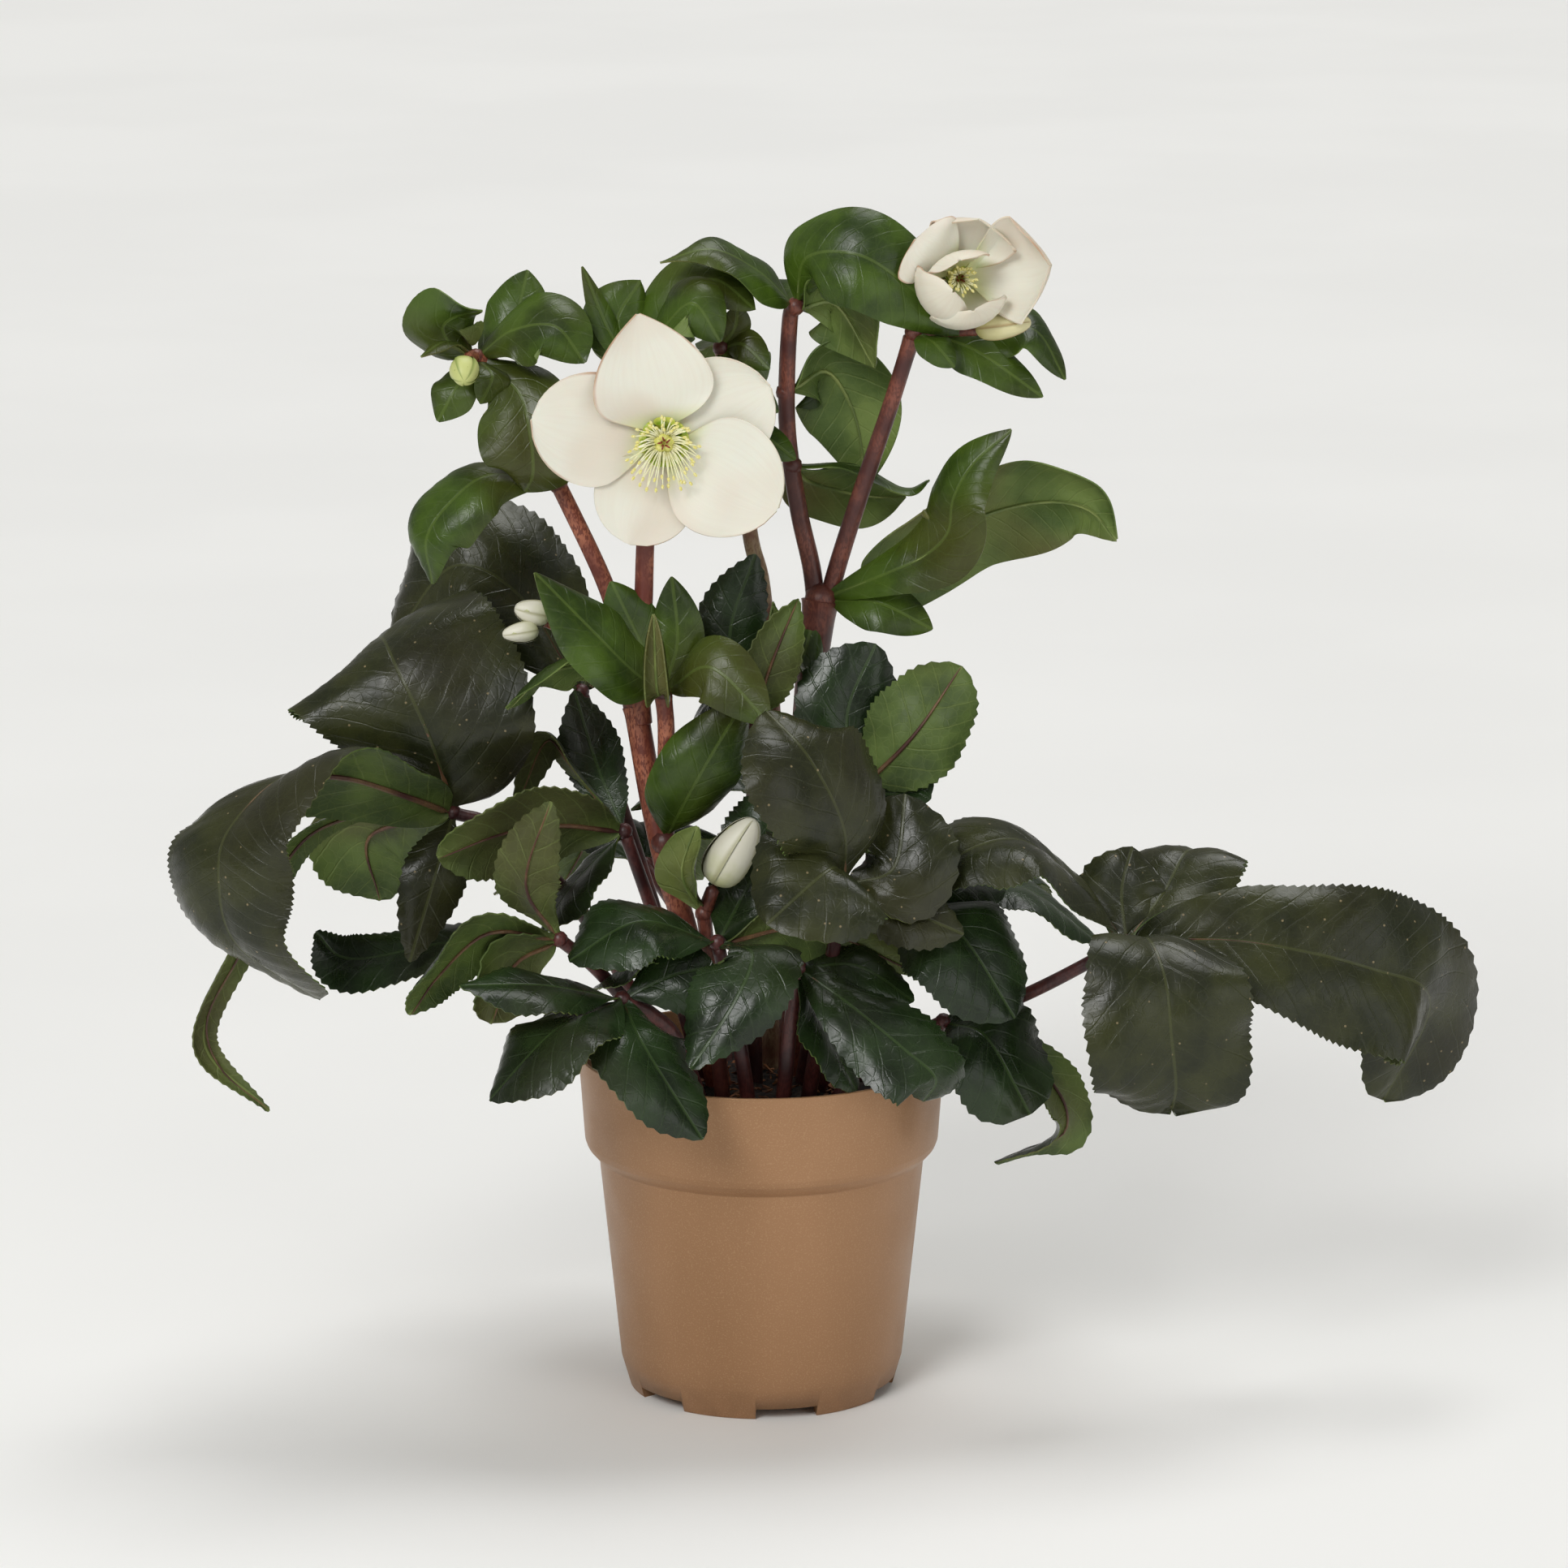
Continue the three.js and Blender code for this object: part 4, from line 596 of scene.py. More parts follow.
def blade_surface(blade):
    """The upper face of a blade, as a function of s along its rib and x across it, from -1 to 1.
    It gives a point, the way up and the half-width there."""
    blade = {**BLADE, **blade}
    path = [Vector(p) for p in blade["path"]]
    length = curve_length(path)
    outline = OUTLINE[blade["shape"]]
    kind = "bract" if blade["shape"] in SMOOTH_EDGED else "leaf"
    spacing = None if blade["shape"] in PETALS else SIDE_VEINS[kind]
    width = blade["width"]
    chord = path[-1] - path[0]
    course = radians(blade["heading"]) if "heading" in blade else atan2(chord.y, chord.x)
    flat = blade.get("level") or Vector((-sin(course), cos(course), 0))
    start = radians(blade["fold"])
    bend = radians(blade["fold"] + blade["cup"]) or LEAST_BEND

    @cache
    def station(s):
        along = curve_tangent(path, s)
        lateral = (flat - flat.dot(along) * along).normalized()
        lateral.rotate(Quaternion(along, radians(blade["roll"])))
        stalk = outline["root"] + (outline["point"] - outline["root"]) * s
        halves = [stalk + width / 2 * outline_at(outline, s, blade["skew"] * side) for side in (1, -1)]
        return curve_point(path, s), lateral, along.cross(lateral), halves

    def surface(s, x, tooth=0.0):
        centre, lateral, up, halves = station(s)
        side, across = (-1 if x > 0 else 1), abs(x)
        half = halves[x > 0]
        reach = half + tooth
        end = start - bend * across
        ripple = blade["wave"] * width * across**2 * sin(s * RIPPLES + side * RIPPLE_SHIFT)
        out = reach * (sin(start) - sin(end)) / bend
        rise = reach * (cos(end) - cos(start)) / bend + ripple
        lean = -side * end if across else 0
        normal = up * cos(lean) + lateral * sin(lean)
        point = centre + lateral * side * out + up * rise
        sway = noise.noise(point / SWAY_SIZE) * SWAY * width * across
        if spacing:
            phase = (s * length - across * half * VEIN_SLOPE) / spacing + (0.5 if side > 0 else 0)
            bulge = sin(phase * pi) ** 2 * (1 - across**4) * ramp(across * half, 0, RIB_CHANNEL)
            sway += PUCKER * min(1, width / PUCKER_WIDTH) * bulge
        return point + normal * sway, normal, half

    return surface, length


def add_blade(bm, blade):
    """A leaflet, bract or petal with its upper and lower face, its toothed or even margin and the
    rib along its underside."""
    surface, length = blade_surface(blade)
    toothed = blade["shape"] not in SMOOTH_EDGED
    petal = blade["shape"] in PETALS
    teeth = max(FEWEST_TEETH, round(length / TOOTH_PITCH))
    rows = teeth * ROWS_A_TOOTH
    columns = 2 * max(FEWEST_STRIPS, ceil(blade["width"] / 2 / COLUMN))
    depth = TOOTH_DEPTH * min(1, blade["width"] / TOOTH_DEPTH_WIDTH)

    def place(x, y):
        tooth = 0.0
        if toothed and abs(x) == 1:
            bite = (round(y * rows) % ROWS_A_TOOTH) / (ROWS_A_TOOTH - 1)
            tooth = depth * bite * ramp(y, *TEETH_GROW)
        point, _, half = surface(y, x, tooth)
        return point, (x, y) if petal else (x * half, y * length)

    faces = add_grid(bm, columns, rows, place, UNDER)
    bm.normal_update()
    thickness = PETAL_THICKNESS if petal else LEAF_THICKNESS
    lower = {v: v.co - v.normal * thickness * MM for face in faces for v in face.verts}
    lifted = bmesh.ops.extrude_face_region(bm, geom=faces, use_keep_orig=True)
    for face in lifted["geom"]:
        if isinstance(face, bmesh.types.BMFace):
            face.material_index = TOP if lower.keys().isdisjoint(face.verts) else EDGE
            face.smooth = True
    for v, spot in lower.items():
        v.co = spot
    bmesh.ops.reverse_faces(bm, faces=faces)
    if not petal:
        girth = RIB_GIRTH + blade["width"] * RIB_GROWTH
        ribs = [surface(k / RIB_PARTS, 0) for k in range(RIB_PARTS + 1)]
        path = [point - normal * (thickness + girth * RIB_SET) for point, normal, _ in ribs]
        add_tube(bm, path, girth, finish=STALK, **RIB_TUBE)


# ---------------------------------------------------------------- materials
COORDINATES, PATTERN, PARTS = "ShaderNodeTexCoord", "ShaderNodeUVMap", "ShaderNodeSeparateXYZ"
NOISE, CELLS, TURN = "ShaderNodeTexNoise", "ShaderNodeTexVoronoi", "ShaderNodeMapping"
MATHS, RANGE, MIX, BUMP = "ShaderNodeMath", "ShaderNodeMapRange", "ShaderNodeMix", "ShaderNodeBump"
EASED = {"interpolation_type": "SMOOTHSTEP"}
OF_COLOURS = {"data_type": "RGBA"}

# The patterns' real sizes, in mm.
RIB_VEIN = (0.3, 0.8)  # where the line of a rib starts to fade, and ends, out from its middle
SIDE_VEIN = (0.1, 0.55)
VEIN_WANDER, VEIN_STRAY = 14, 3.0  # the length of a side vein's bends and how far they stray
VEIN_RELIEF, SILK_RELIEF, BUD_RELIEF, RIDGE_RELIEF, MOULD_RELIEF = 0.22, 0.2, 0.3, 0.3, 0.06
NET_CELL, NET_VEIN = 3.2, 0.1  # the net's width, and how far its veins fade, of that
GREEN_PATCH, BLUSH_PATCH, GLOSS_PATCH, LEATHER_GRAIN = 20, 55, 9, 4
SPECK_SPACING, SPECK_COLOUR = 5.5, "#8A7B5C"
SPECK = (0.05, 0.1)  # where a speck starts to fade, and ends, of their spacing
# The size of the patches of painted shade on a sepal, and of the patches on a bud.
SEPAL_SHADE_PATCH, BUD_PATCH = 30, 5
STREAKS = (15, 2, 1)  # how many across half a sepal, and how often they break along it
BRUISE_LENGTH, BRUISE_COLOUR = 22, "#B07B4E"
STEM_PATCH, STEM_RIDGE = 14, 1.5
STEM_SPECK = 0.7  # about twice as coarse as real specks, so that it shows
FLOW_LINE, WEAR_PATCH = 45, 20
PEARL_FLAKE, MOULD_GRAIN = 0.5, 0.7  # far coarser than real flakes and grain, so that they show
# The size of the patches of painted shade at the pot's foot, and how far up the wall they reach.
FOOT_SHADE_PATCH, FOOT_SHADE_HEIGHT = 6, 20
# How strong a noise is where a patch starts to show, and where it shows in full.
CRISP, SOFT = (0.35, 0.65), (0.3, 0.7)
# A pattern's scale along X, Y and Z, where it is drawn out up a stem or up the pot's wall.
SPECKS_DRAWN, RIDGES_DRAWN, FLOW_DRAWN = (1, 1, 0.4), (1, 1, 0.12), (1, 1, 0.3)
# Where a sepal's colours fade, along it from its root and out from its middle to its margin.
SEPAL_ROOT, SEPAL_MARGIN = (0.05, 0.35), (0.94, 0.99)
# Where a bud sepal's green foot fades, up it, and where the painted shade along its lapped edge starts
# and is full, across it.
BUD_FOOT, BUD_LAP_SHADE = (0.25, 0.8), (0.62, 0.95)


def linear(code):
    """An sRGB hex colour as the linear values that a shader takes."""
    values = [int(code[i:i + 2], 16) / 255 for i in (1, 3, 5)]
    return (*(v / 12.92 if v <= 0.04045 else ((v + 0.055) / 1.055) ** 2.4 for v in values), 1)


def add(tree, kind, inputs=None, output=0, **settings):
    """Adds a node with its settings and gives one of its outputs. An input is a number, a hex
    colour or another node's output."""
    made = tree.nodes.new(kind)
    for name, value in settings.items():
        setattr(made, name, value)
    for name, value in (inputs or {}).items():
        socket = made.inputs[name]
        if isinstance(value, bpy.types.NodeSocket):
            tree.links.new(value, socket)
        else:
            socket.default_value = linear(value) if isinstance(value, str) else value
    return made.outputs[output]


def new_material(name, constants):
    """A material and its Principled shader, with the constants set on the shader's own sockets."""
    made = bpy.data.materials.new(name)
    made.use_nodes = True
    shader = made.node_tree.nodes["Principled BSDF"]
    for socket, value in constants.items():
        shader.inputs[socket.replace("_", " ")].default_value = value
    return made, made.node_tree, shader


def uneven(tree, spot, size, low, high, least=0.0, most=1.0, detail=2.0):
    """Soft patches of a size in mm: `least` where their noise is under low, `most` over high."""
    grain = add(tree, NOISE, {"Vector": spot, "Scale": 1 / (size * MM), "Detail": detail})
    return add(tree, RANGE, {0: grain, 1: low, 2: high, 3: least, 4: most}, **EASED)


def finish_with(tree, shader, **outputs):
    """Leads each output into the shader's socket of that name."""
    for socket, output in outputs.items():
        tree.links.new(output, shader.inputs[socket.replace("_", " ")])


def vein_pattern(tree, spot, spacing):
    """The veins of a blade, from the pattern's coordinates in mm: across the rib and along it.
    Gives the rib, the side veins and the net of fine veins between them, each 1 on a vein."""
    place = add(tree, PATTERN)
    across = add(tree, PARTS, {0: place}, "X")
    along = add(tree, PARTS, {0: place}, "Y")
    off = add(tree, MATHS, {0: across}, operation="ABSOLUTE")
    lean = add(tree, MATHS, {0: off, 1: -VEIN_SLOPE, 2: along}, operation="MULTIPLY_ADD")
    right = add(tree, MATHS, {0: across, 1: 0.0}, operation="LESS_THAN")
    lean = add(tree, MATHS, {0: right, 1: spacing / 2, 2: lean}, operation="MULTIPLY_ADD")
    wander = add(tree, NOISE, {"Vector": spot, "Scale": 1 / (VEIN_WANDER * MM), "Detail": 3.0})
    lean = add(tree, MATHS, {0: wander, 1: VEIN_STRAY, 2: lean}, operation="MULTIPLY_ADD")
    away = add(tree, MATHS, {0: lean, 1: spacing / 2}, operation="PINGPONG")
    side = add(tree, RANGE, {0: away, 1: SIDE_VEIN[0], 2: SIDE_VEIN[1], 3: 1.0, 4: 0.0}, **EASED)
    rib = add(tree, RANGE, {0: off, 1: RIB_VEIN[0], 2: RIB_VEIN[1], 3: 1.0, 4: 0.0}, **EASED)
    cells = add(tree, CELLS, {"Vector": place, "Scale": 1 / NET_CELL}, feature="DISTANCE_TO_EDGE")
    net = add(tree, RANGE, {0: cells, 1: 0.0, 2: NET_VEIN, 3: 1.0, 4: 0.0}, **EASED)
    return rib, side, net


def blade_face(name, dark, light, vein, blush, ribbed, veined, raised, gloss, netted=0.05, blushed=0.6,
               specks=0.0, spacing=SIDE_VEINS["leaf"], **constants):
    """A face of a leaf or bract: two uneven greens with a blush, its rib, side veins and the net
    between them, and pale specks. `raised` is how far the veins stand out, or less than 0 where
    they are sunk, and `gloss` is its roughness where it shines most and least."""
    made, tree, shader = new_material(name, constants)
    spot = add(tree, COORDINATES, output="Object")
    rib, side, net = vein_pattern(tree, spot, spacing)
    patches = uneven(tree, spot, GREEN_PATCH, *CRISP, detail=4.0)
    colour = add(tree, MIX, {0: patches, 6: dark, 7: light}, 2, **OF_COLOURS)
    tinge = uneven(tree, spot, BLUSH_PATCH, 0.45, 0.7, 0.0, blushed, detail=1.0)
    colour = add(tree, MIX, {0: tinge, 6: colour, 7: blush}, 2, **OF_COLOURS)
    for lines, strength in ((net, netted), (side, veined), (rib, ribbed)):
        share = add(tree, MATHS, {0: lines, 1: strength}, operation="MULTIPLY")
        colour = add(tree, MIX, {0: share, 6: colour, 7: vein}, 2, **OF_COLOURS)
    if specks:
        dots = add(tree, CELLS, {"Vector": spot, "Scale": 1 / (SPECK_SPACING * MM)})
        dots = add(tree, RANGE, {0: dots, 1: SPECK[0], 2: SPECK[1], 3: specks, 4: 0.0}, **EASED)
        colour = add(tree, MIX, {0: dots, 6: colour, 7: SPECK_COLOUR}, 2, **OF_COLOURS)
    dullness = uneven(tree, spot, GLOSS_PATCH, *SOFT, *gloss)
    relief = add(tree, MATHS, {0: net, 1: 0.3, 2: side}, operation="MULTIPLY_ADD")
    relief = add(tree, MATHS, {0: relief, 1: rib}, operation="MAXIMUM")
    leather = add(tree, NOISE, {"Vector": spot, "Scale": 1 / (LEATHER_GRAIN * MM), "Detail": 4.0})
    relief = add(tree, MATHS, {0: relief, 1: raised, 2: leather}, operation="MULTIPLY_ADD")
    normal = add(tree, BUMP, {"Height": relief, "Distance": VEIN_RELIEF * MM, "Strength": 0.7})
    finish_with(tree, shader, Base_Color=colour, Roughness=dullness, Normal=normal)
    return made


def sepal_face(name, pale, painted_shade, base, **constants):
    """A sepal: white with soft patches of painted shade in a warmer colour, fine streaks along it in
    that shade colour, a tint of green at its root and a thin bruised line here and there on its
    margin. Its pattern runs from -1 to 1 across it and from 0 to 1 along it."""
    made, tree, shader = new_material(name, constants)
    spot = add(tree, COORDINATES, output="Object")
    place = add(tree, PATTERN)
    # Painted shade: soft patches, and then the streaks, take on the second colour, a warmer and darker
    # white.
    patches = uneven(tree, spot, SEPAL_SHADE_PATCH, 0.4, 0.65, detail=1.0)
    colour = add(tree, MIX, {0: patches, 6: pale, 7: painted_shade}, 2, **OF_COLOURS)
    streaks = add(tree, TURN, {"Vector": place, "Scale": STREAKS})
    streaks = add(tree, NOISE, {"Vector": streaks, "Scale": 1.0, "Detail": 3.0})
    faint = add(tree, RANGE, {0: streaks, 1: 0.4, 2: 0.7, 3: 0.0, 4: 0.2}, **EASED)
    colour = add(tree, MIX, {0: faint, 6: colour, 7: painted_shade}, 2, **OF_COLOURS)
    along = add(tree, PARTS, {0: place}, "Y")
    root = add(tree, RANGE, {0: along, 1: SEPAL_ROOT[0], 2: SEPAL_ROOT[1], 3: 0.8, 4: 0.0}, **EASED)
    colour = add(tree, MIX, {0: root, 6: colour, 7: base}, 2, **OF_COLOURS)
    across = add(tree, PARTS, {0: place}, "X")
    off = add(tree, MATHS, {0: across}, operation="ABSOLUTE")
    margin = add(tree, RANGE, {0: off, 1: SEPAL_MARGIN[0], 2: SEPAL_MARGIN[1]}, **EASED)
    bruised = uneven(tree, spot, BRUISE_LENGTH, 0.45, 0.65, 0.05, 0.7)
    line = add(tree, MATHS, {0: margin, 1: bruised}, operation="MULTIPLY")
    colour = add(tree, MIX, {0: line, 6: colour, 7: BRUISE_COLOUR}, 2, **OF_COLOURS)
    normal = add(tree, BUMP, {"Height": streaks, "Distance": SILK_RELIEF * MM, "Strength": 0.25})
    finish_with(tree, shader, Base_Color=colour, Normal=normal)
    return made


def bud_face(name, pale, green, painted_lap_shade, **constants):
    """A closed sepal: pale, green at its foot, and darkened by painted shade along the edge where the
    next laps it. Its pattern runs from -1 to 1 across it and from 0 to 1 up it."""
    made, tree, shader = new_material(name, constants)
    spot = add(tree, COORDINATES, output="Object")
    place = add(tree, PATTERN)
    across = add(tree, PARTS, {0: place}, "X")
    height = add(tree, PARTS, {0: place}, "Y")
    patches = add(tree, NOISE, {"Vector": spot, "Scale": 1 / (BUD_PATCH * MM), "Detail": 3.0})
    level = add(tree, MATHS, {0: patches, 1: 0.4, 2: height}, operation="MULTIPLY_ADD")
    foot = add(tree, RANGE, {0: level, 1: BUD_FOOT[0], 2: BUD_FOOT[1], 3: 0.85, 4: 0.0}, **EASED)
    colour = add(tree, MIX, {0: foot, 6: pale, 7: green}, 2, **OF_COLOURS)
    # Painted shade: the sepal darkens towards the edge on its one side where the sepals lap.
    edge = add(tree, RANGE, {0: across, 1: BUD_LAP_SHADE[0], 2: BUD_LAP_SHADE[1], 3: 0.0, 4: 0.75}, **EASED)
    colour = add(tree, MIX, {0: edge, 6: colour, 7: painted_lap_shade}, 2, **OF_COLOURS)
    normal = add(tree, BUMP, {"Height": patches, "Distance": BUD_RELIEF * MM, "Strength": 0.5})
    finish_with(tree, shader, Base_Color=colour, Normal=normal)
    return made


def stem_skin(name, dark, light, speckled, **constants):
    """Fleshy bark: two uneven colours under small dark specks, drawn out along the stem."""
    made, tree, shader = new_material(name, constants)
    spot = add(tree, COORDINATES, output="Object")
    patches = uneven(tree, spot, STEM_PATCH, *CRISP, detail=3.0)
    colour = add(tree, MIX, {0: patches, 6: dark, 7: light}, 2, **OF_COLOURS)
    drawn = add(tree, TURN, {"Vector": spot, "Scale": SPECKS_DRAWN})
    specks = uneven(tree, drawn, STEM_SPECK, 0.4, 0.55, speckled, 0.0, detail=1.0)
    colour = add(tree, MIX, {0: specks, 6: colour, 7: dark}, 2, **OF_COLOURS)
    drawn = add(tree, TURN, {"Vector": spot, "Scale": RIDGES_DRAWN})
    ridges = add(tree, NOISE, {"Vector": drawn, "Scale": 1 / (STEM_RIDGE * MM)})
    normal = add(tree, BUMP, {"Height": ridges, "Distance": RIDGE_RELIEF * MM, "Strength": 0.6})
    finish_with(tree, shader, Base_Color=colour, Normal=normal)
    return made


def mottled(name, dark, light, size, depth, **constants):
    """Two colours mixed by noise of one size in mm, which also gives the surface its relief."""
    made, tree, shader = new_material(name, constants)
    spot = add(tree, COORDINATES, output="Object")
    grain = add(tree, NOISE, {"Vector": spot, "Scale": 1 / (size * MM), "Detail": 3.0})
    patches = add(tree, RANGE, {0: grain, 1: CRISP[0], 2: CRISP[1]}, **EASED)
    colour = add(tree, MIX, {0: patches, 6: dark, 7: light}, 2, **OF_COLOURS)
    normal = add(tree, BUMP, {"Height": grain, "Distance": depth * MM, "Strength": 0.8})
    finish_with(tree, shader, Base_Color=colour, Normal=normal)
    return made


def pot_plastic():
    """Injection-moulded polypropylene with a bronze pearl pigment: satin, with a fine moulded
    grain, faint flow lines down the wall and patches of painted shade, a darker copy of the bronze, by
    the foot."""
    made, tree, shader = new_material("moulded_bronze_polypropylene", {"Metallic": 0.3})
    spot = add(tree, COORDINATES, output="Object")
    flow = add(tree, TURN, {"Vector": spot, "Scale": FLOW_DRAWN})
    flow = uneven(tree, flow, FLOW_LINE, *SOFT)
    colour = add(tree, MIX, {0: flow, 6: "#9A7350", 7: "#A67D59"}, 2, **OF_COLOURS)
    pearl = uneven(tree, spot, PEARL_FLAKE, 0.55, 0.75, 0.0, 0.25, detail=0.0)
    colour = add(tree, MIX, {0: pearl, 6: colour, 7: "#C39F79"}, 2, **OF_COLOURS)
    # Painted shade: patches of a darker copy of the bronze, strongest at the floor and gone 20 mm up.
    height = add(tree, PARTS, {0: spot}, "Z")
    low = add(tree, RANGE, {0: height, 1: 0.0, 2: FOOT_SHADE_HEIGHT * MM, 3: 0.5, 4: 0.0}, **EASED)
    foot_shade = add(tree, NOISE, {"Vector": spot, "Scale": 1 / (FOOT_SHADE_PATCH * MM), "Detail": 3.0})
    foot_shade = add(tree, MATHS, {0: low, 1: foot_shade}, operation="MULTIPLY")
    colour = add(tree, MIX, {0: foot_shade, 6: colour, 7: "#5C4330"}, 2, **OF_COLOURS)
    wear = uneven(tree, spot, WEAR_PATCH, *SOFT, 0.38, 0.48, detail=3.0)
    grain = add(tree, NOISE, {"Vector": spot, "Scale": 1 / (MOULD_GRAIN * MM), "Detail": 1.0})
    normal = add(tree, BUMP, {"Height": grain, "Distance": MOULD_RELIEF * MM, "Strength": 0.6})
    finish_with(tree, shader, Base_Color=colour, Roughness=wear, Normal=normal)
    return made


# The waxy cuticle of an old basal leaf: dark olive grey with a soft gloss, and fine pale specks.
OLD_LEAF = blade_face("leathery_leaf_old", "#212513", "#34371B", "#555A34", "#2A2818", ribbed=0.35,
                      veined=0.05, raised=-0.6, gloss=(0.25, 0.39), specks=0.8, Specular_IOR_Level=0.34)
# A younger leaf near the crown is deeper green and glossier, with bright, sharper highlights.
YOUNG_LEAF = blade_face("leathery_leaf_young", "#15210F", "#26381B", "#4A6034", "#2A2C1C", ribbed=0.35,
                        veined=0.09, raised=-0.7, gloss=(0.23, 0.36), Specular_IOR_Level=0.4)
# The underside of a leaf is matt, pale and olive, with veins that stand out.
LEAF_UNDER = blade_face("leaf_underside", "#38491F", "#56692F", "#7E8C4E", "#565030", ribbed=0.6,
                        veined=0.25, raised=1, gloss=(0.5, 0.65), netted=0.1, Specular_IOR_Level=0.35)
# Bracts are thinner and fresher: green with a soft shine, browner where they are older.
BRACT = {"spacing": SIDE_VEINS["bract"], "blushed": 0.75, "Specular_IOR_Level": 0.35}
BRACT_TOP = blade_face("bract", "#26380D", "#435A18", "#667A38", "#44431A", ribbed=0.35, veined=0.07,
                       raised=-0.45, gloss=(0.28, 0.4), **BRACT)
# Their undersides are paler and duller, flushed with brown, and their veins stand out.
BRACT_UNDER = blade_face("bract_underside", "#4B602A", "#6D8040", "#8C9A5C", "#65552F", ribbed=0.55,
                         veined=0.2, raised=1, gloss=(0.45, 0.6), **BRACT)
# The rim of a leaf: a thin, horny, straw-brown line round its teeth.
LEAF_EDGE = mottled("horny_leaf_margin", "#3C3C22", "#665A34", 3, 0.05, Roughness=0.5)
# The rim of a bract is soft, and little paler than its faces.
BRACT_EDGE = mottled("bract_margin", "#3E5820", "#6C753A", 3, 0.05, Roughness=0.5)
# Sepals are thick and white with a silky sheen and let a little light through.
FLESHY = {"Subsurface_Weight": 0.1, "Subsurface_Scale": 2 * MM}
# Each sepal face's second colour is painted shade, laid on in soft patches and streaks.
SEPAL = sepal_face("white_sepal", "#E8E6D8", "#E0D7C7", "#CDD492", Roughness=0.5, **FLESHY)
# Their backs are duller and warmer, with more green at the root.
SEPAL_BACK = sepal_face("white_sepal_back", "#E3DDCB", "#D6C8B2", "#B9C484", Roughness=0.55, **FLESHY)
# The margin of a sepal bruises to a thin orange-brown line in places.
SEPAL_EDGE = mottled("bruised_sepal_margin", "#B08056", "#DCCDB4", 8, 0.02, Roughness=0.55)
# Closed buds are waxy: ivory where they are near to opening, cream and then green before that.
# The third colour of each bud is painted shade along the edges where its sepals lap.
BUD_WHITE = bud_face("white_bud", "#E4E1CF", "#BFC386", "#A5A276", Roughness=0.45)
BUD_CREAM = bud_face("cream_bud", "#DCD5A6", "#C0B974", "#A08252", Roughness=0.45)
BUD_GREEN = bud_face("green_bud", "#C4CA80", "#93A648", "#788C3C", Roughness=0.45)
# The old stem is fleshy and orange-brown under dense maroon specks.
STEM_SPECKLED = stem_skin("speckled_stem", "#6A2F24", "#B06C50", 0.85, Roughness=0.45)
# The one behind is paler, where it grew in the shade, and the others are maroon and smoother.
STEM_PALE = stem_skin("shaded_stem", "#7A5240", "#A89272", 0.6, Roughness=0.5)
STEM_DARK = stem_skin("maroon_stem", "#4A2420", "#804838", 0.6, Roughness=0.42)
# Petioles are the darkest, smooth and a little glossy.
PETIOLE_SKIN = stem_skin("maroon_petiole", "#35191A", "#653430", 0.5, Roughness=0.4)
# Ribs stand out under a blade: yellow-green under a bract, brown and maroon under a leaf.
RIB = stem_skin("pale_rib", "#5B6C34", "#84904F", 0.2, Roughness=0.5)
RIB_MAROON = stem_skin("maroon_rib", "#46261F", "#735638", 0.3, Roughness=0.5)
# The parts of a bloom's heart are soft: matt cream filaments, anthers dusty with pollen, waxy
# green nectaries, and red-brown styles on yellow carpels.
FILAMENT_SKIN = mottled("cream_filament", "#E6E4AE", "#F3F1CE", 2, 0.05, Roughness=0.6)
ANTHER_SKIN = mottled("pollen_cream_anther", "#E2D873", "#F2EAAE", 0.6, 0.1, Roughness=0.8)
HORN_SKIN = mottled("green_yellow_nectary", "#8FAE22", "#C9D052", 2.5, 0.05, Roughness=0.35)
STYLE_SKIN = mottled("red_brown_style", "#6E2614", "#9C4626", 1, 0.05, Roughness=0.5)
CARPEL_SKIN = mottled("yellow_carpel", "#CBCB62", "#E6E08A", 1.5, 0.05, Roughness=0.45)
# Moist peat compost is almost black and fully matt, with crumbs of every size.
COMPOST = mottled("peat_compost", "#0B0604", "#2B1A12", 2.2, 1.0, Roughness=0.95)
# The bits of bark on it are drier, fibrous and red-brown.
BARK = mottled("bark_fibre", "#3E2213", "#8A5732", 3, 0.3, Roughness=0.9)
# The pot's pearl pigment makes plain moulded plastic look like satin bronze.
POT_PLASTIC = pot_plastic()
# A plain studio sweep of matt card.
CARD = mottled("pale_card", "#F4F4F2", "#F7F7F5", 400, 0.0, Roughness=0.95)
HEART = [FILAMENT_SKIN, ANTHER_SKIN, HORN_SKIN, STYLE_SKIN, CARPEL_SKIN]


# ---------------------------------------------------------------- leaves and stems
def whorl(name, hub, radius, shape, blades, materials, slot):
    """Blades round a hub. Each starts part of the way out of the hub's ball."""
    bm = bmesh.new()
    centre = Vector(hub)
    add_ball(bm, centre, (radius * HUB_GIRTH,) * 3, HUB)
    for blade in blades:
        toward = (Vector(blade["path"][0]) - centre).normalized() * radius * SUNK_ROOT
        path = [centre + toward, *blade["path"]]
        add_blade(bm, {"shape": shape, **blade, "path": path})
    add_piece(f"{name}_grown", bm, materials, slot, name)


def stem(name, branches, material, slot, knobs):
    """Stems that grow out of each other."""
    bm = bmesh.new()
    for branch in branches:
        add_tube(bm, knobs=knobs, **branch, **STEM_TUBE)
    add_piece(f"{name}_grown", bm, [material], slot, name)


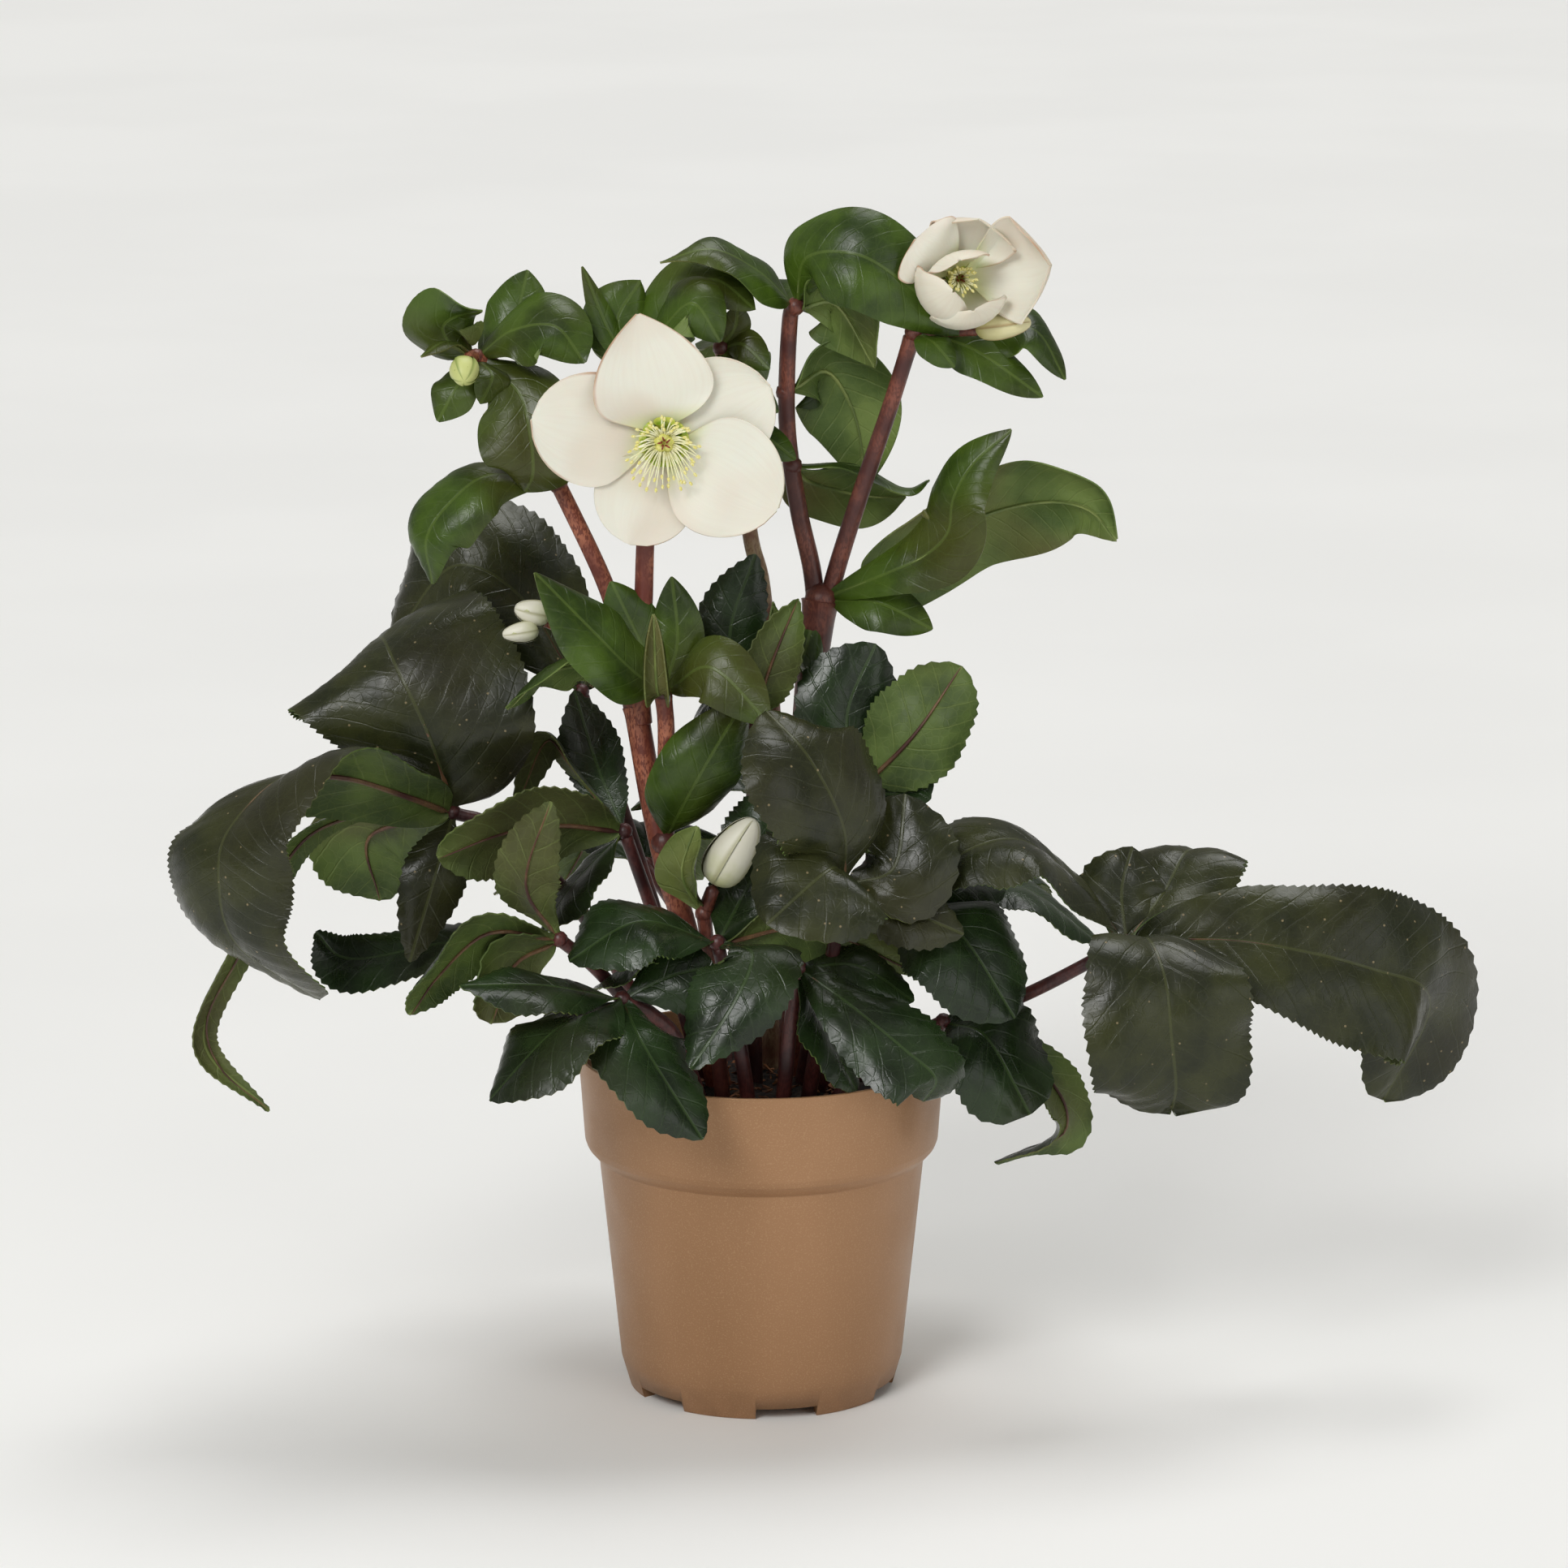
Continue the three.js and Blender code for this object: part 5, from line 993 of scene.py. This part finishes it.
# ---------------------------------------------------------------- blooms
# Where the heart's parts start, bend and end: how far out from the bloom's axis, and how far along
# it from the level where the stamens spring.
RECEPTACLE = {"girth": 0.9, "depth": 0.6, "along": 0.5}  # its two radii are shares of the heart's
DISH = {"rim": 1, "along": -2.4, "depth": 1.6}  # the green floor, wider than the heart by `rim`
NECTARY = [(0.4, 0), (1.0, 0.7), (1.5, 2.4), (2.1, 4.3), (2.3, 4.9), (1.9, 4.7), (1.1, 2.6), (0, 1.8)]
NECTARY_STEPS = 9
NECTARY_FOOT = (3.4, -2.6)
NECTARY_MOUTH = (0.8, 0.8)  # out past the ring of nectaries
ASTRAY = 0.1  # radians that a tip may stand off its foot's place in the ring
STAMEN = {"radius": 0.3, "tip": 0.22, "sides": 5, "step": 2}
STAMEN_FOOT = (1.0, 2.6)  # from here to there out from the axis
STAMEN_BEND = {"out": 0.55, "along": 0.8}  # of its reach and of its height
STAMEN_REACH = (0.62, 1.0)  # of the widest
STAMEN_UNEVEN = 0.4  # of the angle between two stamens
STAMEN_SAG = (0.3, 1.0)  # of the bloom's droop
STAMEN_SUNK = 1  # how far below that level their feet are
LOPSIDED = (0.85, -0.15)  # the brush reaches less far above than below
ANTHER_RADII = (0.6, 0.6, 0.95)
STYLES = 5
STYLE_TUBE = {"radius": 0.42, "tip": 0.28, "sides": 7, "step": 1}
STYLE_BEND = (0.9, 3.4)
STYLE_TIP = (2.6, 4.6)
STYLE_TWIST = 0.3  # radians round the bloom from a style's foot to its tip
CARPEL_FOOT = (1.8, -0.5)
CARPEL_RADII = (2.2, 1.8, 3.3)
FILAMENT, ANTHER, HORN, STYLE, CARPEL = range(5)  # finishes of a bloom's heart, in order


def flower_axes(axis):
    """Across a bloom, square to it, and along its opening."""
    along = Vector(axis).normalized()
    across = Vector((0, 0, 1)).cross(along).normalized()
    return across, along.cross(across), along


def flower_point(flower, angle, out, along):
    """A point of a bloom from its polar place round the axis and its height along it."""
    across, up, forward = flower_axes(flower["axis"])
    return Vector(flower["base"]) + (across * cos(angle) + up * sin(angle)) * out + forward * along


def sepals(name, flower, materials):
    """The sepals of a bloom, round the receptacle that they grow on."""
    bm = bmesh.new()
    across, up, forward = flower_axes(flower["axis"])
    for petal in flower["petals"]:
        turn = radians(petal["angle"])
        outward = across * cos(turn) + up * sin(turn)
        path = [flower_point(flower, turn, out, along) for out, along in petal["path"]]
        form = {**PETAL, "cup": flower["cup"], **petal, "level": forward.cross(outward), "path": path}
        add_blade(bm, form)
    girth = flower["heart"] * RECEPTACLE["girth"]
    radii = (girth, girth, flower["heart"] * RECEPTACLE["depth"])
    add_ball(bm, flower_point(flower, 0, 0, RECEPTACLE["along"]), radii, UNDER, aimed(forward))
    add_piece(f"{name}_grown", bm, materials, "petal", name)


def heart(name, flower, materials, rng):
    """Nectaries in a ring, stamens that fan out over them, and carpels with their styles."""
    bm = bmesh.new()
    stamens, horns = flower["stamens"], flower["nectaries"]
    forward = flower_axes(flower["axis"])[2]
    upright = aimed(forward)
    low, high = stamens["along"]
    girth = flower["heart"] + DISH["rim"]
    floor = flower_point(flower, 0, 0, low + DISH["along"])
    add_ball(bm, floor, (girth, girth, DISH["depth"]), HORN, upright)
    for k in range(horns["count"]):
        angle = (k + 0.5) / horns["count"] * tau
        foot = flower_point(flower, angle, NECTARY_FOOT[0], low + NECTARY_FOOT[1])
        astray = angle + rng.uniform(-ASTRAY, ASTRAY)
        mouth = flower_point(flower, astray, horns["out"] + NECTARY_MOUTH[0], low + NECTARY_MOUTH[1])
        turn = aimed(mouth - foot).to_matrix().to_4x4()
        add_lathe(bm, NECTARY, NECTARY_STEPS, Matrix.Translation(foot * MM) @ turn, HORN)
    for k in range(stamens["count"]):
        angle = (k + rng.uniform(-STAMEN_UNEVEN, STAMEN_UNEVEN)) / stamens["count"] * tau
        reach = stamens["reach"] * rng.uniform(*STAMEN_REACH) * (LOPSIDED[0] + LOPSIDED[1] * sin(angle))
        sag = Vector((0, 0, -stamens["droop"] * rng.uniform(*STAMEN_SAG)))
        foot = flower_point(flower, angle, rng.uniform(*STAMEN_FOOT), low - STAMEN_SUNK)
        bend = low + (high - low) * STAMEN_BEND["along"]
        middle = flower_point(flower, angle, reach * STAMEN_BEND["out"], bend)
        end = flower_point(flower, angle + rng.uniform(-ASTRAY, ASTRAY), reach, high) + sag
        add_tube(bm, [foot, middle, end], finish=FILAMENT, **STAMEN)
        add_ball(bm, end, ANTHER_RADII, ANTHER, aimed(end - middle), subdivisions=1)
    for k in range(STYLES):
        angle = (k + 0.25) / STYLES * tau
        foot = flower_point(flower, angle, CARPEL_FOOT[0], low + CARPEL_FOOT[1])
        middle = flower_point(flower, angle, STYLE_BEND[0], low + STYLE_BEND[1])
        end = flower_point(flower, angle + STYLE_TWIST, STYLE_TIP[0], low + STYLE_TIP[1])
        add_tube(bm, [foot, middle, end], finish=STYLE, **STYLE_TUBE)
        add_ball(bm, foot, CARPEL_RADII, CARPEL, upright)
    add_piece(f"{name}_grown", bm, materials, "stamen", name)


BUD_TAPER = 0.22  # how much narrower a bud is at its tip than at its middle
BUD_FULLNESS = 0.8  # 1 for an egg and less for a bud that is blunter at its ends
BUD_REACH = 0.49  # of its length, from its middle to either end
BUD_CORE = {"girth": 0.86, "length": 0.46}  # the ball inside its sepals, of the bud's own sizes
BUD_SEPALS = 5
BUD_LAP = {"angle": 0.9, "closing": 0.25}  # half the angle a sepal spans at its foot, and its loss
BUD_SKIN = {"girth": 0.92, "lap": 0.06, "uneven": 0.03}  # how far out a sepal lies, of the girth
BUD_SWELLS = (2, 3)  # how closely its swellings lie, across it and up it
BUD_GRID = (10, 16)
BUD_FINISH = {"bud_round": BUD_GREEN, "bud_cream": BUD_CREAM}  # the others are white


def bud(name, eggs, finish, rng):
    """Five sepals wrapped round each egg, every one under its neighbour on one side and over it on
    the other."""
    bm = bmesh.new()
    for egg in eggs:
        base, turn = Vector(egg["centre"]), rng.uniform(0, tau)
        turned = aimed(egg["axis"])
        girth, length = egg["radius"], egg["length"]
        inner = girth * BUD_CORE["girth"]
        add_ball(bm, base, (inner, inner, length * BUD_CORE["length"]), 0, turned)
        for k in range(BUD_SEPALS):
            start = turn + k / BUD_SEPALS * tau

            def place(x, y, start=start):
                angle = start + x * (BUD_LAP["angle"] - BUD_LAP["closing"] * y)
                level = -cos(y * pi)
                spot = Vector((x * BUD_SWELLS[0], y * BUD_SWELLS[1], start))
                lap = BUD_SKIN["girth"] + BUD_SKIN["lap"] * x + BUD_SKIN["uneven"] * noise.noise(spot)
                full = sin(y * pi) ** BUD_FULLNESS * (1 - BUD_TAPER * level)
                out = girth * full * lap if 0 < y < 1 else 0
                point = Vector((cos(angle) * out, sin(angle) * out, level * length * BUD_REACH))
                return base + turned @ point, (x, y)

            weld(bm, add_grid(bm, *BUD_GRID, place))
    add_piece(f"{name}_grown", bm, [finish], "bud", name)


# ---------------------------------------------------------------- pot and compost
def cut(piece, cutter):
    """Takes the cutter's volume out of a piece for good."""
    piece.modifiers.new("cut", "BOOLEAN").object = cutter
    shape = piece.evaluated_get(bpy.context.evaluated_depsgraph_get())
    piece.data = bpy.data.meshes.new_from_object(shape)
    piece.modifiers.clear()
    bpy.data.objects.remove(cutter)


def pot():
    """The moulded shell, turned in one spin, with the foot's notches and the drain holes cut out."""
    foot = POT_SIDE[0][0]
    pad = [(0, 0), (POT_PAD, 0), (POT_PAD + POT_SLOPE, POT_RECESS)]
    ring = [(FOOT_INNER, POT_RECESS), (FOOT_INNER + POT_SLOPE, 0)]
    inside = [(r - POT_WALL, z) for r, z in reversed(POT_SIDE[1:])]
    floor = [(foot - POT_WALL, POT_FLOOR), (0, POT_FLOOR)]
    bm = bmesh.new()
    add_lathe(bm, [*pad, *ring, *POT_SIDE, *inside, *floor], POT_STEPS, rounding=POT_ROUNDING)
    piece = add_piece("pot_moulded", bm, [POT_PLASTIC], "pot", "pot", sharp=POT_SHARP)
    cutters = bmesh.new()
    for k in range(NOTCHES):
        turn = Matrix.Rotation(radians(NOTCH_FIRST) + k / NOTCHES * tau, 4, "Z")
        size = Matrix.Diagonal((NOTCH_REACH * MM, NOTCH[0] * MM, 2 * NOTCH[1] * MM, 1))
        place = turn @ Matrix.Translation((foot * MM, 0, 0)) @ size
        bmesh.ops.create_cube(cutters, size=1, matrix=place)
        bore = turn @ Matrix.Translation((DRAIN_CIRCLE * MM, 0, POT_FLOOR * MM))
        bmesh.ops.create_cone(cutters, cap_ends=True, segments=DRAIN_SIDES, radius1=DRAIN_RADIUS * MM,
                              radius2=DRAIN_RADIUS * MM, depth=3 * POT_FLOOR * MM, matrix=bore)
    cut(piece, new_shape("cutters", cutters))


def compost_height(x, y):
    """Lumps of compost, low round the wall."""
    lumps = sum(noise.noise(Vector((x, y, 0)) / size) * high for size, high in LUMPS)
    return COMPOST_TOP + lumps - COMPOST_SAG * (hypot(x, y) / COMPOST_RADIUS) ** SAG_POWER


def compost():
    """Compost as one turned body inside the pot, crumbled on top, and its loose bits of bark."""
    inset = POT_WALL + COMPOST_GAP
    low = POT_FLOOR + COMPOST_GAP / 2
    side = [(r - inset, z) for r, z in POT_SIDE[1:-1]]
    rings = [(COMPOST_RADIUS * (1 - k / COMPOST_RINGS), COMPOST_TOP) for k in range(COMPOST_RINGS)]
    outline = [(0, low), (POT_SIDE[0][0] - inset, low), *side, *rings, (0, COMPOST_TOP)]
    bm = bmesh.new()
    add_lathe(bm, outline, COMPOST_STEPS)
    for v in bm.verts:
        if abs(v.co.z - COMPOST_TOP * MM) < LEVEL_GAP:
            v.co.z = compost_height(v.co.x / MM, v.co.y / MM) * MM
    add_piece("compost_body", bm, [COMPOST], "soil", "soil")

    rng = Random(BITS_SEED)
    bm = bmesh.new()
    for _ in range(BITS):
        away, angle = COMPOST_RADIUS * BITS_REACH * rng.random() ** 0.5, rng.uniform(0, tau)
        x, y = away * cos(angle), away * sin(angle)
        place = Matrix.Translation(Vector((x, y, compost_height(x, y) + BIT_RISE)) * MM)
        turn = Matrix.Rotation(rng.uniform(0, pi), 4, "Z")
        turn = turn @ Matrix.Rotation(rng.uniform(-BIT_TILT, BIT_TILT), 4, "Y")
        size = [*(rng.uniform(*sides) * MM for sides in (BIT_LENGTH, BIT_WIDTH, BIT_DEPTH)), 1]
        made = bmesh.ops.create_cube(bm, size=1, matrix=place @ turn @ Matrix.Diagonal(size))
        for v in made["verts"]:
            v.co += Vector([rng.uniform(-BIT_RAGGED, BIT_RAGGED) * MM for _ in range(3)])
            v.co.xy *= min(1, COMPOST_RADIUS * MM / v.co.xy.length)
    add_piece("compost_bits", bm, [BARK], "soil", "soil")


# ---------------------------------------------------------------- the plant
STEM_FINISH = {"left": STEM_SPECKLED, "back": STEM_PALE}  # the others are dark
PLANT_SEED = 7


def grow_plant():
    rng = Random(PLANT_SEED)
    for name, tubes in STEMS.items():
        stem(f"stem_{name}", tubes, STEM_FINISH.get(name, STEM_DARK), "stem", STEM_KNOBS)
    for name, leaf in LEAVES.items():
        stalk = {**PETIOLE, "path": leaf["petiole"]}
        stem(f"petiole_{name}", [stalk], PETIOLE_SKIN, "petiole", PETIOLE_KNOBS)
        top = OLD_LEAF if name in OLD_LEAVES else YOUNG_LEAF
        whorl(f"leaf_{name}", leaf["petiole"][-1], LEAF_HUB_RADIUS, "leaflet", leaf["leaflets"],
              [top, LEAF_UNDER, LEAF_EDGE, RIB_MAROON, PETIOLE_SKIN], "leaf")
    for name, group in WHORLS.items():
        whorl(name, group["hub"], group["sleeve"], "bract", group["bracts"],
              [BRACT_TOP, BRACT_UNDER, BRACT_EDGE, RIB, STEM_DARK], "bract")
    for name, flower in FLOWERS.items():
        sepals(f"petals_{name}", flower, [SEPAL, SEPAL_BACK, SEPAL_EDGE])
        heart(f"heart_{name}", flower, HEART, rng)
    for name, eggs in BUDS.items():
        bud(name, eggs, BUD_FINISH.get(name, BUD_WHITE), rng)


# ---------------------------------------------------------------- studio
def studio():
    """A card floor, a white surround, lamps that face the plant, and the camera."""
    bm = bmesh.new()
    bmesh.ops.create_grid(bm, x_segments=1, y_segments=1, size=FLOOR_REACH)
    new_shape("floor", bm, [CARD])

    world = bpy.data.worlds.new("studio")
    world.use_nodes = True
    world.node_tree.nodes["Background"].inputs["Color"].default_value = linear("#FAF8F3")
    world.node_tree.nodes["Background"].inputs["Strength"].default_value = SURROUNDINGS
    bpy.context.scene.world = world
    bpy.context.scene.view_settings.view_transform = "Standard"

    aim = Vector(AIM) * MM
    lamps = []
    for name, place, width, strength in SUNS:
        lamp = bpy.data.lights.new(name, "SUN")
        lamp.angle = radians(width)
        lamp.energy = strength
        lamps.append((lamp, Vector(place)))
    softbox = bpy.data.lights.new("softbox", "AREA")
    softbox.size = SOFTBOX["size"]
    softbox.energy = SOFTBOX["power"]
    lamps.append((softbox, Vector(SOFTBOX["place"])))
    for lamp, place in lamps:
        light = new_object(lamp.name, lamp)
        light.location = place
        light.rotation_mode = "QUATERNION"
        light.rotation_quaternion = (aim - place).to_track_quat("-Z", "Y")

    lens = bpy.data.cameras.new("camera")
    lens.lens = LENS
    lens.sensor_width = SENSOR
    camera = new_object("camera", lens)
    tilt = radians(CAMERA_ELEVATION)
    camera.location = aim + Vector((0, -cos(tilt), sin(tilt))) * CAMERA_DISTANCE
    camera.rotation_euler = (pi / 2 - tilt, 0, 0)
    bpy.context.scene.camera = camera


studio()
grow_plant()
compost()
pot()
